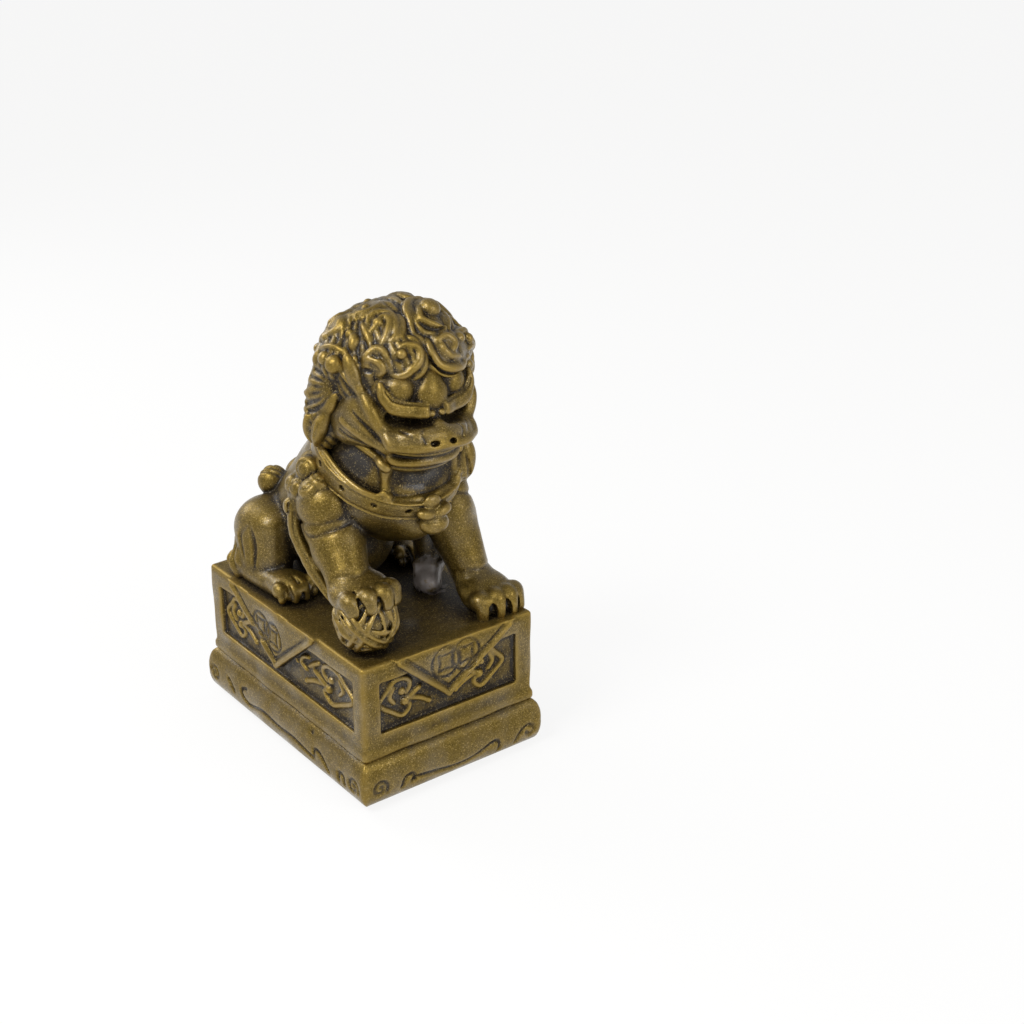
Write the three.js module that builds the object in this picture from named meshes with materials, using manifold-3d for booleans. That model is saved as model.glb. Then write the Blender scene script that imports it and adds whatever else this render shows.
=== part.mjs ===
// Seated guardian lion on a draped plinth, one of a pair: its right forepaw rests on a brocade ball.
// Millimetres, +Z up, the face looks along -Y, +X is the lion's own left.
// The origin is the centre of the underside. The casting is split along its sculpted members.
import * as THREE from "three";
import { mergeVertices } from "three/addons/utils/BufferGeometryUtils.js";
import Module from "manifold-3d";

// ---- Driving dimensions ----
const BLOCK_WIDTH = 49.2; // the plinth block, side to side
const BLOCK_DEPTH = 71.6; // the plinth block, front to back
const BLOCK_HEIGHT = 22.2;
const STEP_HEIGHT = 1.8; // the small moulding between block and foot
const STEP_OVERHANG = 0.7;
const FOOT_HEIGHT = 12.6;
const FOOT_SOLE_ROUND = 1.6; // the foot's lower edge is tighter than its upper one
const FOOT_OVERHANG = 2.2;
const FELT_THICKNESS = 0.8;
const FELT_PROUD = 0.4; // how far the felt stands below the foot
const FELT_MARGIN = 4.0; // from the foot's edge to the felt
const RAIL = 4.6; // the frame left round each recessed panel
const LOWER_RAIL = 3.8; // the frame below each panel
const RECESS = 1.2; // depth of the panels
const EDGE_ROUND = 0.8; // bevel on the block's edges
const CLOTH_HALF_WIDTH = { front: 18.0, side: 20.0 };
const CLOTH_DROP = { front: 15.0, side: 16.0 };
const CLOTH_PROUD = 0.7; // how far the cloth stands off the block's rails
const SCROLL_HEIGHT = 0.8; // relief of the leaf scrolls in the panels
const SCROLL_MARGIN = 1.1; // clear ground round each scroll
const LION_HEIGHT = 79.8; // from the deck to the top curl
const BALL_RADIUS = 7.8;
const COLLAR_WIDTH = 5.6;
const COLLAR_THICKNESS = 2.2;
const COLLAR_TILT = 27; // degrees, lower in front
const HEAD_TILT = 4; // degrees, its left side lower
const GAP = 0.3; // joint line left between neighbouring members

// ---- Levels that follow from them ----
const FOOT_BOTTOM = FELT_PROUD;
const FOOT_TOP = FOOT_BOTTOM + FOOT_HEIGHT;
const STEP_TOP = FOOT_TOP + STEP_HEIGHT;
const DECK = STEP_TOP + BLOCK_HEIGHT;
const PANEL_LOW = STEP_TOP + LOWER_RAIL;
const PANEL_HIGH = DECK - RAIL;

// The lion is laid out for a deck of MODEL_WIDTH by MODEL_DEPTH, and stretches with the plinth it sits on.
const MODEL_WIDTH = 49.2;
const MODEL_DEPTH = 71.6;
const MODEL_HEIGHT = 79.8;
const STRETCH = new THREE.Vector3(
  BLOCK_WIDTH / MODEL_WIDTH,
  BLOCK_DEPTH / MODEL_DEPTH,
  LION_HEIGHT / MODEL_HEIGHT,
);

// How finely a mass is faceted: around and from pole to pole.
const SMALL = [8, 4];
const MEDIUM = [10, 6];
const LARGE = [14, 9];

const wasm = await Module();
wasm.setup();

const bronze = new THREE.MeshStandardMaterial({ color: "#8f7438", roughness: 0.42, metalness: 0.7 });
const felt = new THREE.MeshStandardMaterial({ color: "#2c2a22", roughness: 0.95, metalness: 0 });

// ---- Solids ----
function solidOf(geometry) {
  const bare = geometry.index ? geometry.toNonIndexed() : geometry.clone();
  bare.deleteAttribute("normal");
  bare.deleteAttribute("uv");
  const merged = mergeVertices(bare, 1e-4);
  const mesh = new wasm.Mesh({
    numProp: 3,
    vertProperties: merged.attributes.position.array,
    triVerts: new Uint32Array(merged.index.array),
  });
  return new wasm.Manifold(mesh);
}

function union(solids) {
  return solids.reduce((whole, next) => whole.add(next));
}

function largestBody(solid) {
  return solid.decompose().sort((a, b) => b.volume() - a.volume())[0];
}

// A point of the lion: [x, y, height above the deck], stretched to the plinth.
function onDeck([x, y, z]) {
  return new THREE.Vector3(x * STRETCH.x, y * STRETCH.y, DECK + z * STRETCH.z);
}

// An egg-shaped mass: centre, half sizes and a turn in degrees about X, Y and Z.
function mass(centre, half, turn = [0, 0, 0], facets = MEDIUM) {
  return (grow) => {
    const [a, b, c] = turn.map(THREE.MathUtils.degToRad);
    const geometry = new THREE.SphereGeometry(1, ...facets)
      .rotateX(Math.PI / 2)
      .scale(...half.map((h) => h + grow))
      .applyMatrix4(new THREE.Matrix4().makeRotationFromEuler(new THREE.Euler(a, b, c)))
      .scale(...STRETCH.toArray());
    return solidOf(geometry.translate(...onDeck(centre).toArray()));
  };
}

// A limb: two balls with the cone that touches both.
function limb(from, to, fromRadius, toRadius, sides = 10) {
  return (grow) => {
    const a = new THREE.Vector3(...from);
    const axis = new THREE.Vector3(...to).sub(a);
    const length = axis.length();
    const tilt = Math.asin((fromRadius - toRadius) / length);
    const profile = [];
    const arc = (radius, height, start, end) => {
      for (let step = 0; step <= 3; step++) {
        const angle = start + ((end - start) * step) / 3;
        const reach = radius + grow;
        profile.push(new THREE.Vector2(reach * Math.cos(angle), height + reach * Math.sin(angle)));
      }
    };
    arc(fromRadius, 0, -Math.PI / 2, tilt);
    arc(toRadius, length, tilt, Math.PI / 2);
    profile[0].x = 0;
    profile[profile.length - 1].x = 0;
    const upright = new THREE.Vector3(0, 1, 0);
    const turn = new THREE.Quaternion().setFromUnitVectors(upright, axis.normalize());
    const geometry = new THREE.LatheGeometry(profile, sides)
      .applyQuaternion(turn)
      .translate(...a.toArray())
      .scale(...STRETCH.toArray());
    return solidOf(geometry.translate(0, 0, DECK));
  };
}

// The head leans to one side about the top of the neck: a head point or turn is leaned the same way.
function leaned([x, y, z]) {
  const tilt = THREE.MathUtils.degToRad(HEAD_TILT);
  const pivot = 45;
  return [
    x * Math.cos(tilt) + (z - pivot) * Math.sin(tilt),
    y,
    pivot - x * Math.sin(tilt) + (z - pivot) * Math.cos(tilt),
  ];
}

function headMass(centre, half, facets = MEDIUM, spin = 0) {
  return mass(leaned(centre), half, [0, HEAD_TILT, spin], facets);
}

function headLimb(from, to, fromRadius, toRadius, sides) {
  return limb(leaned(from), leaned(to), fromRadius, toRadius, sides);
}

// Several shapes joined into one member.
function joined(...shapes) {
  return (grow) => union(shapes.map((shape) => shape(grow)));
}

function box(width, depth, low, high) {
  return new THREE.BoxGeometry(width, depth, high - low).translate(0, 0, (low + high) / 2);
}

function rectangle(width, depth) {
  return new THREE.Shape([
    new THREE.Vector2(-width / 2, -depth / 2),
    new THREE.Vector2(width / 2, -depth / 2),
    new THREE.Vector2(width / 2, depth / 2),
    new THREE.Vector2(-width / 2, depth / 2),
  ]);
}

// A slab with rounded edges and mitred corners. Size and levels are those of the finished slab.
function mouldedSlab(width, depth, low, high, round, steps) {
  const geometry = new THREE.ExtrudeGeometry(rectangle(width - 2 * round.out, depth - 2 * round.out), {
    depth: high - low - 2 * round.up,
    bevelThickness: round.up,
    bevelSize: round.out,
    bevelSegments: steps,
    steps: 1,
  });
  return geometry.translate(0, 0, low + round.up);
}

// ---- Plinth ----
const faces = {
  front: { turn: 0, half: BLOCK_WIDTH / 2, out: BLOCK_DEPTH / 2, kind: "front" },
  right: { turn: -90, half: BLOCK_DEPTH / 2, out: BLOCK_WIDTH / 2, kind: "side" },
  back: { turn: 180, half: BLOCK_WIDTH / 2, out: BLOCK_DEPTH / 2, kind: "front" },
  left: { turn: 90, half: BLOCK_DEPTH / 2, out: BLOCK_WIDTH / 2, kind: "side" },
};

// Geometry drawn in a face's own plane (across, up, outward from the face) is stood on that face.
function onFace(geometry, face) {
  const stood = geometry.rotateX(Math.PI / 2).translate(0, -face.out, 0);
  return stood.rotateZ(THREE.MathUtils.degToRad(face.turn));
}

function extrudeUp(shape, height, bevel = 0) {
  return new THREE.ExtrudeGeometry(shape, {
    depth: height - 2 * bevel,
    bevelEnabled: bevel > 0,
    bevelThickness: bevel,
    bevelSize: bevel,
    bevelOffset: -bevel,
    bevelSegments: 1,
  }).translate(0, 0, bevel);
}

function panelOpening(face, margin) {
  const half = face.half - RAIL - margin;
  return new THREE.Shape([
    new THREE.Vector2(-half, PANEL_LOW + margin),
    new THREE.Vector2(half, PANEL_LOW + margin),
    new THREE.Vector2(half, PANEL_HIGH - margin),
    new THREE.Vector2(-half, PANEL_HIGH - margin),
  ]);
}

function plinthBlock() {
  const round = { out: EDGE_ROUND, up: EDGE_ROUND };
  const block = solidOf(mouldedSlab(BLOCK_WIDTH, BLOCK_DEPTH, STEP_TOP, DECK, round, 2));
  const recesses = Object.values(faces).map((face) =>
    solidOf(onFace(extrudeUp(panelOpening(face, 0), 2 * RECESS).translate(0, 0, -RECESS), face)),
  );
  return recesses.reduce((left, recess) => left.subtract(recess), block);
}

function plinthFoot() {
  const width = BLOCK_WIDTH + 2 * FOOT_OVERHANG;
  const depth = BLOCK_DEPTH + 2 * FOOT_OVERHANG;
  const round = { out: FOOT_OVERHANG + STEP_OVERHANG, up: FOOT_HEIGHT * 0.45 };
  const sole = { out: FOOT_SOLE_ROUND, up: FOOT_SOLE_ROUND };
  const middle = (FOOT_BOTTOM + FOOT_TOP) / 2;
  const lower = solidOf(mouldedSlab(width, depth, FOOT_BOTTOM, middle, sole, 2));
  const foot = solidOf(mouldedSlab(width, depth, FOOT_BOTTOM, FOOT_TOP, round, 4)).add(lower);
  const pocket = FELT_MARGIN - GAP;
  return foot.subtract(solidOf(box(width - 2 * pocket, depth - 2 * pocket, -1, FELT_THICKNESS)));
}

function plinthStep() {
  const width = BLOCK_WIDTH + 2 * STEP_OVERHANG;
  const depth = BLOCK_DEPTH + 2 * STEP_OVERHANG;
  const round = { out: STEP_OVERHANG, up: STEP_HEIGHT / 3 };
  return solidOf(mouldedSlab(width, depth, FOOT_TOP, STEP_TOP, round, 2));
}

function baseFelt() {
  const width = BLOCK_WIDTH + 2 * (FOOT_OVERHANG - FELT_MARGIN);
  const depth = BLOCK_DEPTH + 2 * (FOOT_OVERHANG - FELT_MARGIN);
  return solidOf(box(width, depth, 0, FELT_THICKNESS));
}

// A corner of cloth hangs from the deck over the panel: a proud triangle, backed up in the recess.
function clothTriangle(face, shrink) {
  const half = CLOTH_HALF_WIDTH[face.kind] - 1.6 * shrink;
  const top = DECK - EDGE_ROUND - shrink;
  return new THREE.Shape([
    new THREE.Vector2(0, DECK - CLOTH_DROP[face.kind] + 1.6 * shrink),
    new THREE.Vector2(half, top),
    new THREE.Vector2(-half, top),
  ]);
}

function cloth(face) {
  const sheet = solidOf(onFace(extrudeUp(clothTriangle(face, 0), CLOTH_PROUD, 0.2), face));
  const pad = onFace(extrudeUp(clothTriangle(face, GAP), RECESS + GAP / 2).translate(0, 0, -RECESS), face);
  const opening = onFace(extrudeUp(panelOpening(face, GAP), 2 * RECESS).translate(0, 0, -RECESS), face);
  return sheet.add(solidOf(pad).intersect(solidOf(opening)));
}

// A pointed leaf with a notch on its inner side, a stem and two berries. hand is 1 at the panel's
// +across end.
function leafScroll(face, hand) {
  const middle = (PANEL_LOW + PANEL_HIGH) / 2;
  const tall = (PANEL_HIGH - PANEL_LOW) / 2 - SCROLL_MARGIN;
  const tip = face.half - RAIL - SCROLL_MARGIN;
  const wide = tall * 1.5;
  const point = (across, up) => new THREE.Vector2(hand * (tip - across * wide), middle + up * tall);
  const corners = [
    point(0, 0), point(0.2, 0.55), point(0.45, 0.95), point(0.75, 0.75), point(0.72, 0.4), point(0.6, 0.05),
    point(0.85, -0.05), point(1.25, -0.3), point(1.2, -0.6), point(0.85, -0.5), point(0.6, -0.95),
    point(0.25, -0.6),
  ];
  const edge = new THREE.SplineCurve([...corners, corners[0]]);
  const outline = new THREE.Shape(edge.getPoints(20).slice(0, -1));
  const leaf = solidOf(onFace(extrudeUp(outline, SCROLL_HEIGHT, 0.25).translate(0, 0, -RECESS), face));
  const around = extrudeUp(clothTriangle(face, -GAP), 3 * RECESS).translate(0, 0, -2 * RECESS);
  const hanging = solidOf(onFace(around, face));
  return largestBody(leaf.subtract(hanging));
}

// ---- The lion ----
// Every member is a function of how much it is grown: grown by the gap, it cuts its neighbours.
const hands = { right: -1, left: 1 };
const pawHeight = (2 * BALL_RADIUS) / STRETCH.z - 2.8; // the raised paw clasps the top of the ball

function collarRing(grow) {
  const front = [0, -27.2, 30.2];
  const halfWidth = 16.6;
  const tilt = THREE.MathUtils.degToRad(COLLAR_TILT);
  const halfDepth = 15.8 / Math.cos(tilt);
  const thick = COLLAR_THICKNESS / 2 + grow;
  const high = COLLAR_WIDTH / 2 + grow;
  const soft = thick * 0.5;
  const section = [
    [-thick, -high + soft], [-thick + soft, -high], [thick - soft, -high], [thick, -high + soft],
    [thick, high - soft], [thick - soft, high], [-thick + soft, high], [-thick, high - soft],
    [-thick, -high + soft],
  ].map(([out, up]) => new THREE.Vector2(halfWidth + out, up));
  const centre = [0, front[1] + halfDepth * Math.cos(tilt), front[2] + halfDepth * Math.sin(tilt)];
  const geometry = new THREE.LatheGeometry(section, 24)
    .rotateX(Math.PI / 2)
    .scale(1, halfDepth / halfWidth, 1)
    .rotateX(tilt)
    .scale(...STRETCH.toArray());
  return solidOf(geometry.translate(...onDeck(centre).toArray()));
}

function haunch(s) {
  return joined(
    mass([s * 14.4, 19.4, 12.4], [9.2, 10.6, 10.2]),
    limb([s * 15.6, 20.6, 12.0], [s * 15.8, 20.6, 4.0], 8.0, 7.4),
  );
}

function toes(centre, spread, reach, radius, count = 4) {
  const shapes = [];
  for (let i = 0; i < count; i++) {
    const across = (i / (count - 1)) * 2 - 1;
    const x = centre[0] + across * spread;
    const y = centre[1] + reach * (across * across - 1);
    shapes.push(mass([x, y, centre[2]], [radius, radius * 1.3, radius], [0, 0, 0], SMALL));
  }
  return joined(...shapes);
}

// Small members come first and keep their full shape; the larger ones that follow are cut around them.
const members = [
  ["brow_centre", headMass([0, -29.2, 59.0], [3.4, 3.4, 4.1], SMALL)],
  ["nose", headMass([0, -33.6, 50.4], [4.7, 2.3, 2.2], SMALL)],
  ["collar_knot", mass([0.6, -29.0, 32.4], [3.0, 2.4, 2.4], [0, 0, 0], SMALL)],
  [
    "collar_bell",
    joined(
      mass([0.4, -30.2, 27.2], [3.5, 2.4, 2.8], [0, 0, 0], SMALL),
      mass([-2.4, -29.6, 28.6], [2.0, 1.8, 1.8], [0, 0, 0], SMALL),
      mass([3.0, -29.6, 28.6], [2.0, 1.8, 1.8], [0, 0, 0], SMALL),
    ),
  ],
];

for (const [hand, s] of Object.entries(hands)) {
  members.push(
    [
      "eyelid_" + hand,
      joined(
        headLimb([s * 13.0, -27.6, 62.2], [s * 9.4, -30.4, 57.4], 1.1, 1.3, 6),
        headLimb([s * 9.4, -30.4, 57.4], [s * 3.2, -31.4, 55.7], 1.3, 1.1, 6),
      ),
    ],
    ["brow_" + hand, headMass([s * 7.2, -28.2, 60.6], [4.3, 3.2, 3.9], SMALL, s * 20)],
    ["ear_" + hand, headMass([s * 16.4, -16.6, 57.6], [2.4, 3.0, 4.2], SMALL)],
    [
      "forelock_" + hand,
      joined(
        headMass([s * 5.6, -26.6, 67.4], [4.1, 3.8, 3.9], SMALL),
        headMass([s * 11.2, -23.6, 66.8], [4.3, 4.0, 3.9], SMALL),
      ),
    ],
    [
      "shoulder_curls_" + hand,
      joined(
        mass([s * 17.6, -7.2, 37.4], [3.6, 3.8, 3.4], [0, 0, 0], SMALL),
        mass([s * 19.6, -10.0, 34.2], [2.8, 2.8, 2.8], [0, 0, 0], SMALL),
      ),
    ],
    [
      "elbow_tuft_" + hand,
      joined(
        limb([s * 19.6, -0.6, 23.6], [s * 19.0, -7.0, 17.0], 2.4, 2.0, 6),
        limb([s * 19.0, -7.0, 17.0], [s * 18.6, -14.2, 11.4], 2.0, 1.2, 6),
      ),
    ],
    [
      "hock_tuft_" + hand,
      joined(
        limb([s * 19.4, 26.4, 2.2], [s * 20.2, 28.0, 9.4], 2.4, 1.1, 6),
        limb([s * 15.6, 29.2, 2.2], [s * 16.4, 30.6, 11.6], 2.4, 1.2, 6),
      ),
    ],
    [
      "hind_paw_" + hand,
      joined(
        mass([s * 17.6, 8.0, 2.8], [5.6, 7.6, 3.6]),
        toes([s * 17.6, 3.2, 2.0], 4.0, 1.8, 2.0),
        limb([s * 20.4, 9.0, 2.2], [s * 20.6, 21.0, 2.2], 2.8, 2.6, 6),
      ),
    ],
    ["tail_curl_" + hand, mass([s * 9.6, 26.4, 22.4], [3.7, 3.7, 3.8], [0, 0, 0], SMALL)],
    ["shoulder_" + hand, mass([s * 16.2, -9.6, 29.8], [7.2, 7.6, 7.4])],
  );
}

members.push(
  ["forepaw_right", mass([-16.8, -25.6, pawHeight], [8.8, 7.0, 4.4], [14, 0, 0])],
  [
    "forepaw_left",
    joined(mass([18.2, -26.6, 3.6], [6.3, 7.8, 4.1], [10, 0, 0]), toes([18.2, -31.2, 2.2], 4.6, 2.4, 2.1)),
  ],
  [
    "brocade_ball",
    mass([-17.2, -26.8, BALL_RADIUS / STRETCH.z - 0.3], [BALL_RADIUS, BALL_RADIUS, BALL_RADIUS]),
  ],
  ["foreleg_right", limb([-15.4, -11.8, 25.0], [-17.8, -20.2, 16.6], 8.2, 5.1)],
  ["foreleg_left", limb([15.0, -11.8, 25.0], [17.6, -20.2, 8.0], 7.8, 4.9)],
  ["muzzle", headMass([0, -27.4, 49.6], [12.2, 8.0, 5.0])],
  ["lower_jaw", headMass([0, -22.4, 43.6], [11.4, 9.9, 4.7])],
  ["collar_band", collarRing],
  [
    "head",
    joined(
      headMass([0, -17.2, 56.0], [15.5, 12.6, 12.5]),
      headMass([-9.5, -20.4, 53.6], [6.9, 7.4, 8.4]),
      headMass([9.5, -20.4, 53.6], [6.9, 7.4, 8.4]),
    ),
  ],
  [
    "crown_curls",
    joined(
      headMass([0, -18.2, 74.6], [5.4, 5.4, 5.0], SMALL),
      headMass([-7.2, -19.0, 72.0], [5.0, 5.0, 4.8], SMALL),
      headMass([7.2, -19.0, 72.0], [5.0, 5.0, 4.8], SMALL),
    ),
  ],
  ["side_locks_right", headMass([-14.2, -10.6, 48.8], [4.7, 7.2, 10.4])],
  ["side_locks_left", headMass([15.4, -11.0, 48.8], [4.7, 7.2, 10.4])],
  ["mane_cap", headMass([0.6, -12.8, 61.6], [19.2, 16.4, 16.6], LARGE)],
  ["mane_nape", headMass([0, -1.8, 52.4], [13.8, 10.0, 12.8])],
  ["neck", mass([0, -12.2, 41.0], [15.2, 14.6, 13.0])],
  ["chest", mass([0, -10.2, 30.4], [17.4, 15.4, 11.4])],
  ["haunch_right", haunch(-1)],
  ["haunch_left", haunch(1)],
  [
    "tail",
    joined(
      limb([0, 29.8, 4.0], [0, 30.0, 19.0], 3.6, 4.4),
      mass([0, 27.8, 24.4], [5.2, 4.2, 5.6], [0, 0, 0], SMALL),
    ),
  ],
  ["torso", limb([0, -3.6, 37.2], [0, 16.4, 14.8], 13.8, 14.6, 14)],
);

// ---- Assembly ----
function meshOf(name, solid, material) {
  const { vertProperties, triVerts } = solid.getMesh();
  const geometry = new THREE.BufferGeometry();
  geometry.setAttribute("position", new THREE.BufferAttribute(vertProperties, 3));
  geometry.setIndex(new THREE.BufferAttribute(triVerts, 1));
  geometry.computeVertexNormals();
  const mesh = new THREE.Mesh(geometry, material);
  mesh.name = name;
  return mesh;
}

const statue = new THREE.Group();
const plinth = new THREE.Group();
const lion = new THREE.Group();
statue.add(plinth, lion);

plinth.add(
  meshOf("base_felt", baseFelt(), felt),
  meshOf("plinth_foot", plinthFoot(), bronze),
  meshOf("plinth_step", plinthStep(), bronze),
  meshOf("plinth_block", plinthBlock(), bronze),
);
for (const [where, face] of Object.entries(faces)) {
  plinth.add(meshOf("cloth_" + where, cloth(face), bronze));
  plinth.add(meshOf("scroll_" + where + "_a", leafScroll(face, -1), bronze));
  plinth.add(meshOf("scroll_" + where + "_b", leafScroll(face, 1), bronze));
}

const belowDeck = solidOf(box(3 * BLOCK_WIDTH, 3 * BLOCK_DEPTH, -DECK, DECK));
const placed = [];
for (const [name, shape] of members) {
  const whole = shape(0).subtract(belowDeck);
  const neighbours = placed.filter((other) => other.grown.intersect(whole).volume() > 0);
  const cut = neighbours.reduce((left, other) => left.subtract(other.grown), whole);
  placed.push({ grown: shape(GAP) });
  lion.add(meshOf(name, largestBody(cut), bronze));
}

export default statue;
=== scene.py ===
# %% [markdown]
# A guardian lion, the kind sold in pairs for a doorway or a desk: one hollow-looking but solid
# casting of resin mixed with bronze powder, painted gold, antiqued with dark wax and varnished.
# The lion was modelled in clay before it was moulded, so this file works the same way: clay is
# added, pressed and cut, then cast as a mesh. Everything is kept in millimetres until the cast.

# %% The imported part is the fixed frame
import math

import bmesh
import bpy
import numpy as np
import openvdb
from mathutils import Matrix, Vector


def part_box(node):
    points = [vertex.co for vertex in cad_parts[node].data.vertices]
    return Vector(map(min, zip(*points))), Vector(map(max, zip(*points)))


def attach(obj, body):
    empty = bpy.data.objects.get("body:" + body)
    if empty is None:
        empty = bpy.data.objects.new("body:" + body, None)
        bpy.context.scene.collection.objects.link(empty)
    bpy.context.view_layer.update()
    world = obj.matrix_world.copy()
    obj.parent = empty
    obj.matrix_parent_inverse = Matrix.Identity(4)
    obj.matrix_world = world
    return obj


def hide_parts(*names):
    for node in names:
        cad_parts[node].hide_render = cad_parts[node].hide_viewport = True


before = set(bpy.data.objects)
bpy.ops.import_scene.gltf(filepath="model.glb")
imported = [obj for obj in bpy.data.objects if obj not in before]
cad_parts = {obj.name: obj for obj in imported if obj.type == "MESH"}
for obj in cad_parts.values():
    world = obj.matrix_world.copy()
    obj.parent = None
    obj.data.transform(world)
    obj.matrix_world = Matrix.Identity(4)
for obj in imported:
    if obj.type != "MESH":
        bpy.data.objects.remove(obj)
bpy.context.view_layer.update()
MM = 0.001


# %% [markdown]
# The statue stands on a pale table and is looked down on from its right front corner. The camera
# is placed by its distance and aim alone, with no shift and no depth of field, so any other view
# of the same statue stays honest.

# %% Camera, table and lamps
CAMERA_PLACE = (-191.0, -305.2, 215.7)
CAMERA_FORWARD = (0.5613, 0.7220, -0.4045)
CAMERA_UP = (0.2482, 0.3193, 0.9146)
CAMERA_LENS = 56.22

forward, up = Vector(CAMERA_FORWARD), Vector(CAMERA_UP)
turn = Matrix((forward.cross(up), up, -forward)).transposed().to_4x4()
camera = bpy.data.objects.new("camera", bpy.data.cameras.new("camera"))
camera.matrix_world = Matrix.Translation(Vector(CAMERA_PLACE) * MM) @ turn
camera.data.lens = CAMERA_LENS
camera.data.clip_start = 0.01
bpy.context.scene.collection.objects.link(camera)
bpy.context.scene.camera = camera
bpy.context.scene.view_settings.view_transform = "Standard"


LAMP_AIM = (0, 0, 60)


def lamp(name, place, size, watts):
    """A soft square lamp that faces the statue."""
    data = bpy.data.lights.new(name, "AREA")
    data.shape, data.size, data.energy = "SQUARE", size * MM, watts
    made = bpy.data.objects.new(name, data)
    made.location = Vector(place) * MM
    made.rotation_euler = (Vector(LAMP_AIM) - Vector(place)).to_track_quat("-Z", "Y").to_euler()
    bpy.context.scene.collection.objects.link(made)


lamp("softbox_top_left", (-330, -60, 480), 200, 1.75)
lamp("softbox_front", (150, -520, 330), 260, 0.85)
lamp("softbox_back", (-150, 430, 330), 260, 0.9)


def linear(code):
    """An sRGB hex colour as the linear numbers that a shader takes."""
    parts = [int(code[i : i + 2], 16) / 255 for i in (1, 3, 5)]
    return [c / 12.92 if c <= 0.04045 else ((c + 0.055) / 1.055) ** 2.4 for c in parts] + [1]


def add_node(tree, kind, inputs=None, **settings):
    """A node with its settings, and for each input a value or the socket that feeds it."""
    node = tree.nodes.new("ShaderNode" + kind)
    for key, value in settings.items():
        setattr(node, key, value)
    for key, value in (inputs or {}).items():
        if isinstance(value, bpy.types.NodeSocket):
            tree.links.new(value, node.inputs[key])
        else:
            node.inputs[key].default_value = value
    return node


def new_material(name):
    """An empty material's node tree and its output node."""
    material = bpy.data.materials.new(name)
    material.use_nodes = True
    material.node_tree.nodes.clear()
    return material, material.node_tree, add_node(material.node_tree, "OutputMaterial")


world = bpy.data.worlds.new("pale_studio")
world.use_nodes = True
world.node_tree.nodes.clear()
seen = add_node(world.node_tree, "LightPath").outputs["Is Camera Ray"]
strength = add_node(world.node_tree, "MapRange", {0: seen, 3: 0.5, 4: 1.0}).outputs[0]
sky = add_node(world.node_tree, "Background", {"Color": linear("#ffffff"), "Strength": strength})
add_node(world.node_tree, "OutputWorld", {"Surface": sky.outputs[0]})
bpy.context.scene.world = world

floor_material, tree, output = new_material("white_card")
card = add_node(tree, "BsdfDiffuse", {"Color": linear("#f4f3f0")})
glow = add_node(tree, "Emission", {"Color": linear("#ffffff"), "Strength": 1.0})
path = add_node(tree, "LightPath")
seen = add_node(tree, "Math", {0: path.outputs["Is Camera Ray"], 1: path.outputs["Is Glossy Ray"]})
seen = add_node(tree, "Math", {0: seen.outputs[0], 1: path.outputs["Is Transmission Ray"]})
share = add_node(tree, "Math", {0: seen.outputs[0], 1: 0.86}, operation="MULTIPLY", use_clamp=True)
lit_card = add_node(tree, "MixShader", {0: share.outputs[0], 1: card.outputs[0], 2: glow.outputs[0]})
tree.links.new(lit_card.outputs[0], output.inputs["Surface"])
floor_mesh = bpy.data.meshes.new("table")
floor_form = bmesh.new()
bmesh.ops.create_grid(floor_form, x_segments=1, y_segments=1, size=6.0)
floor_form.to_mesh(floor_mesh)
floor_form.free()
floor_mesh.materials.append(floor_material)
table_top = bpy.data.objects.new("table", floor_mesh)
bpy.context.scene.collection.objects.link(table_top)
print("camera at", [round(v, 3) for v in camera.location], "with 3 lamps")


# %% [markdown]
# Clay is kept as a block of small cubes, each holding its distance to the surface: negative
# inside, positive outside. Adding a lump takes the smaller of two distances and cutting takes the
# larger, and rounding off that choice gives the soft crease a thumb leaves. Mesh booleans would
# leave hard edges, and a subdivision cage can't hold hundreds of grooves, so clay it is.

# %% The clay block and its tools
FAR = 3.5


def soft_min(a, b, blend):
    """The smaller of two distances, with the crease between them filled over that many mm."""
    h = np.clip(0.5 + 0.5 * (b - a) / blend, 0, 1)
    return b + (a - b) * h - blend * h * (1 - h)


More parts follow.
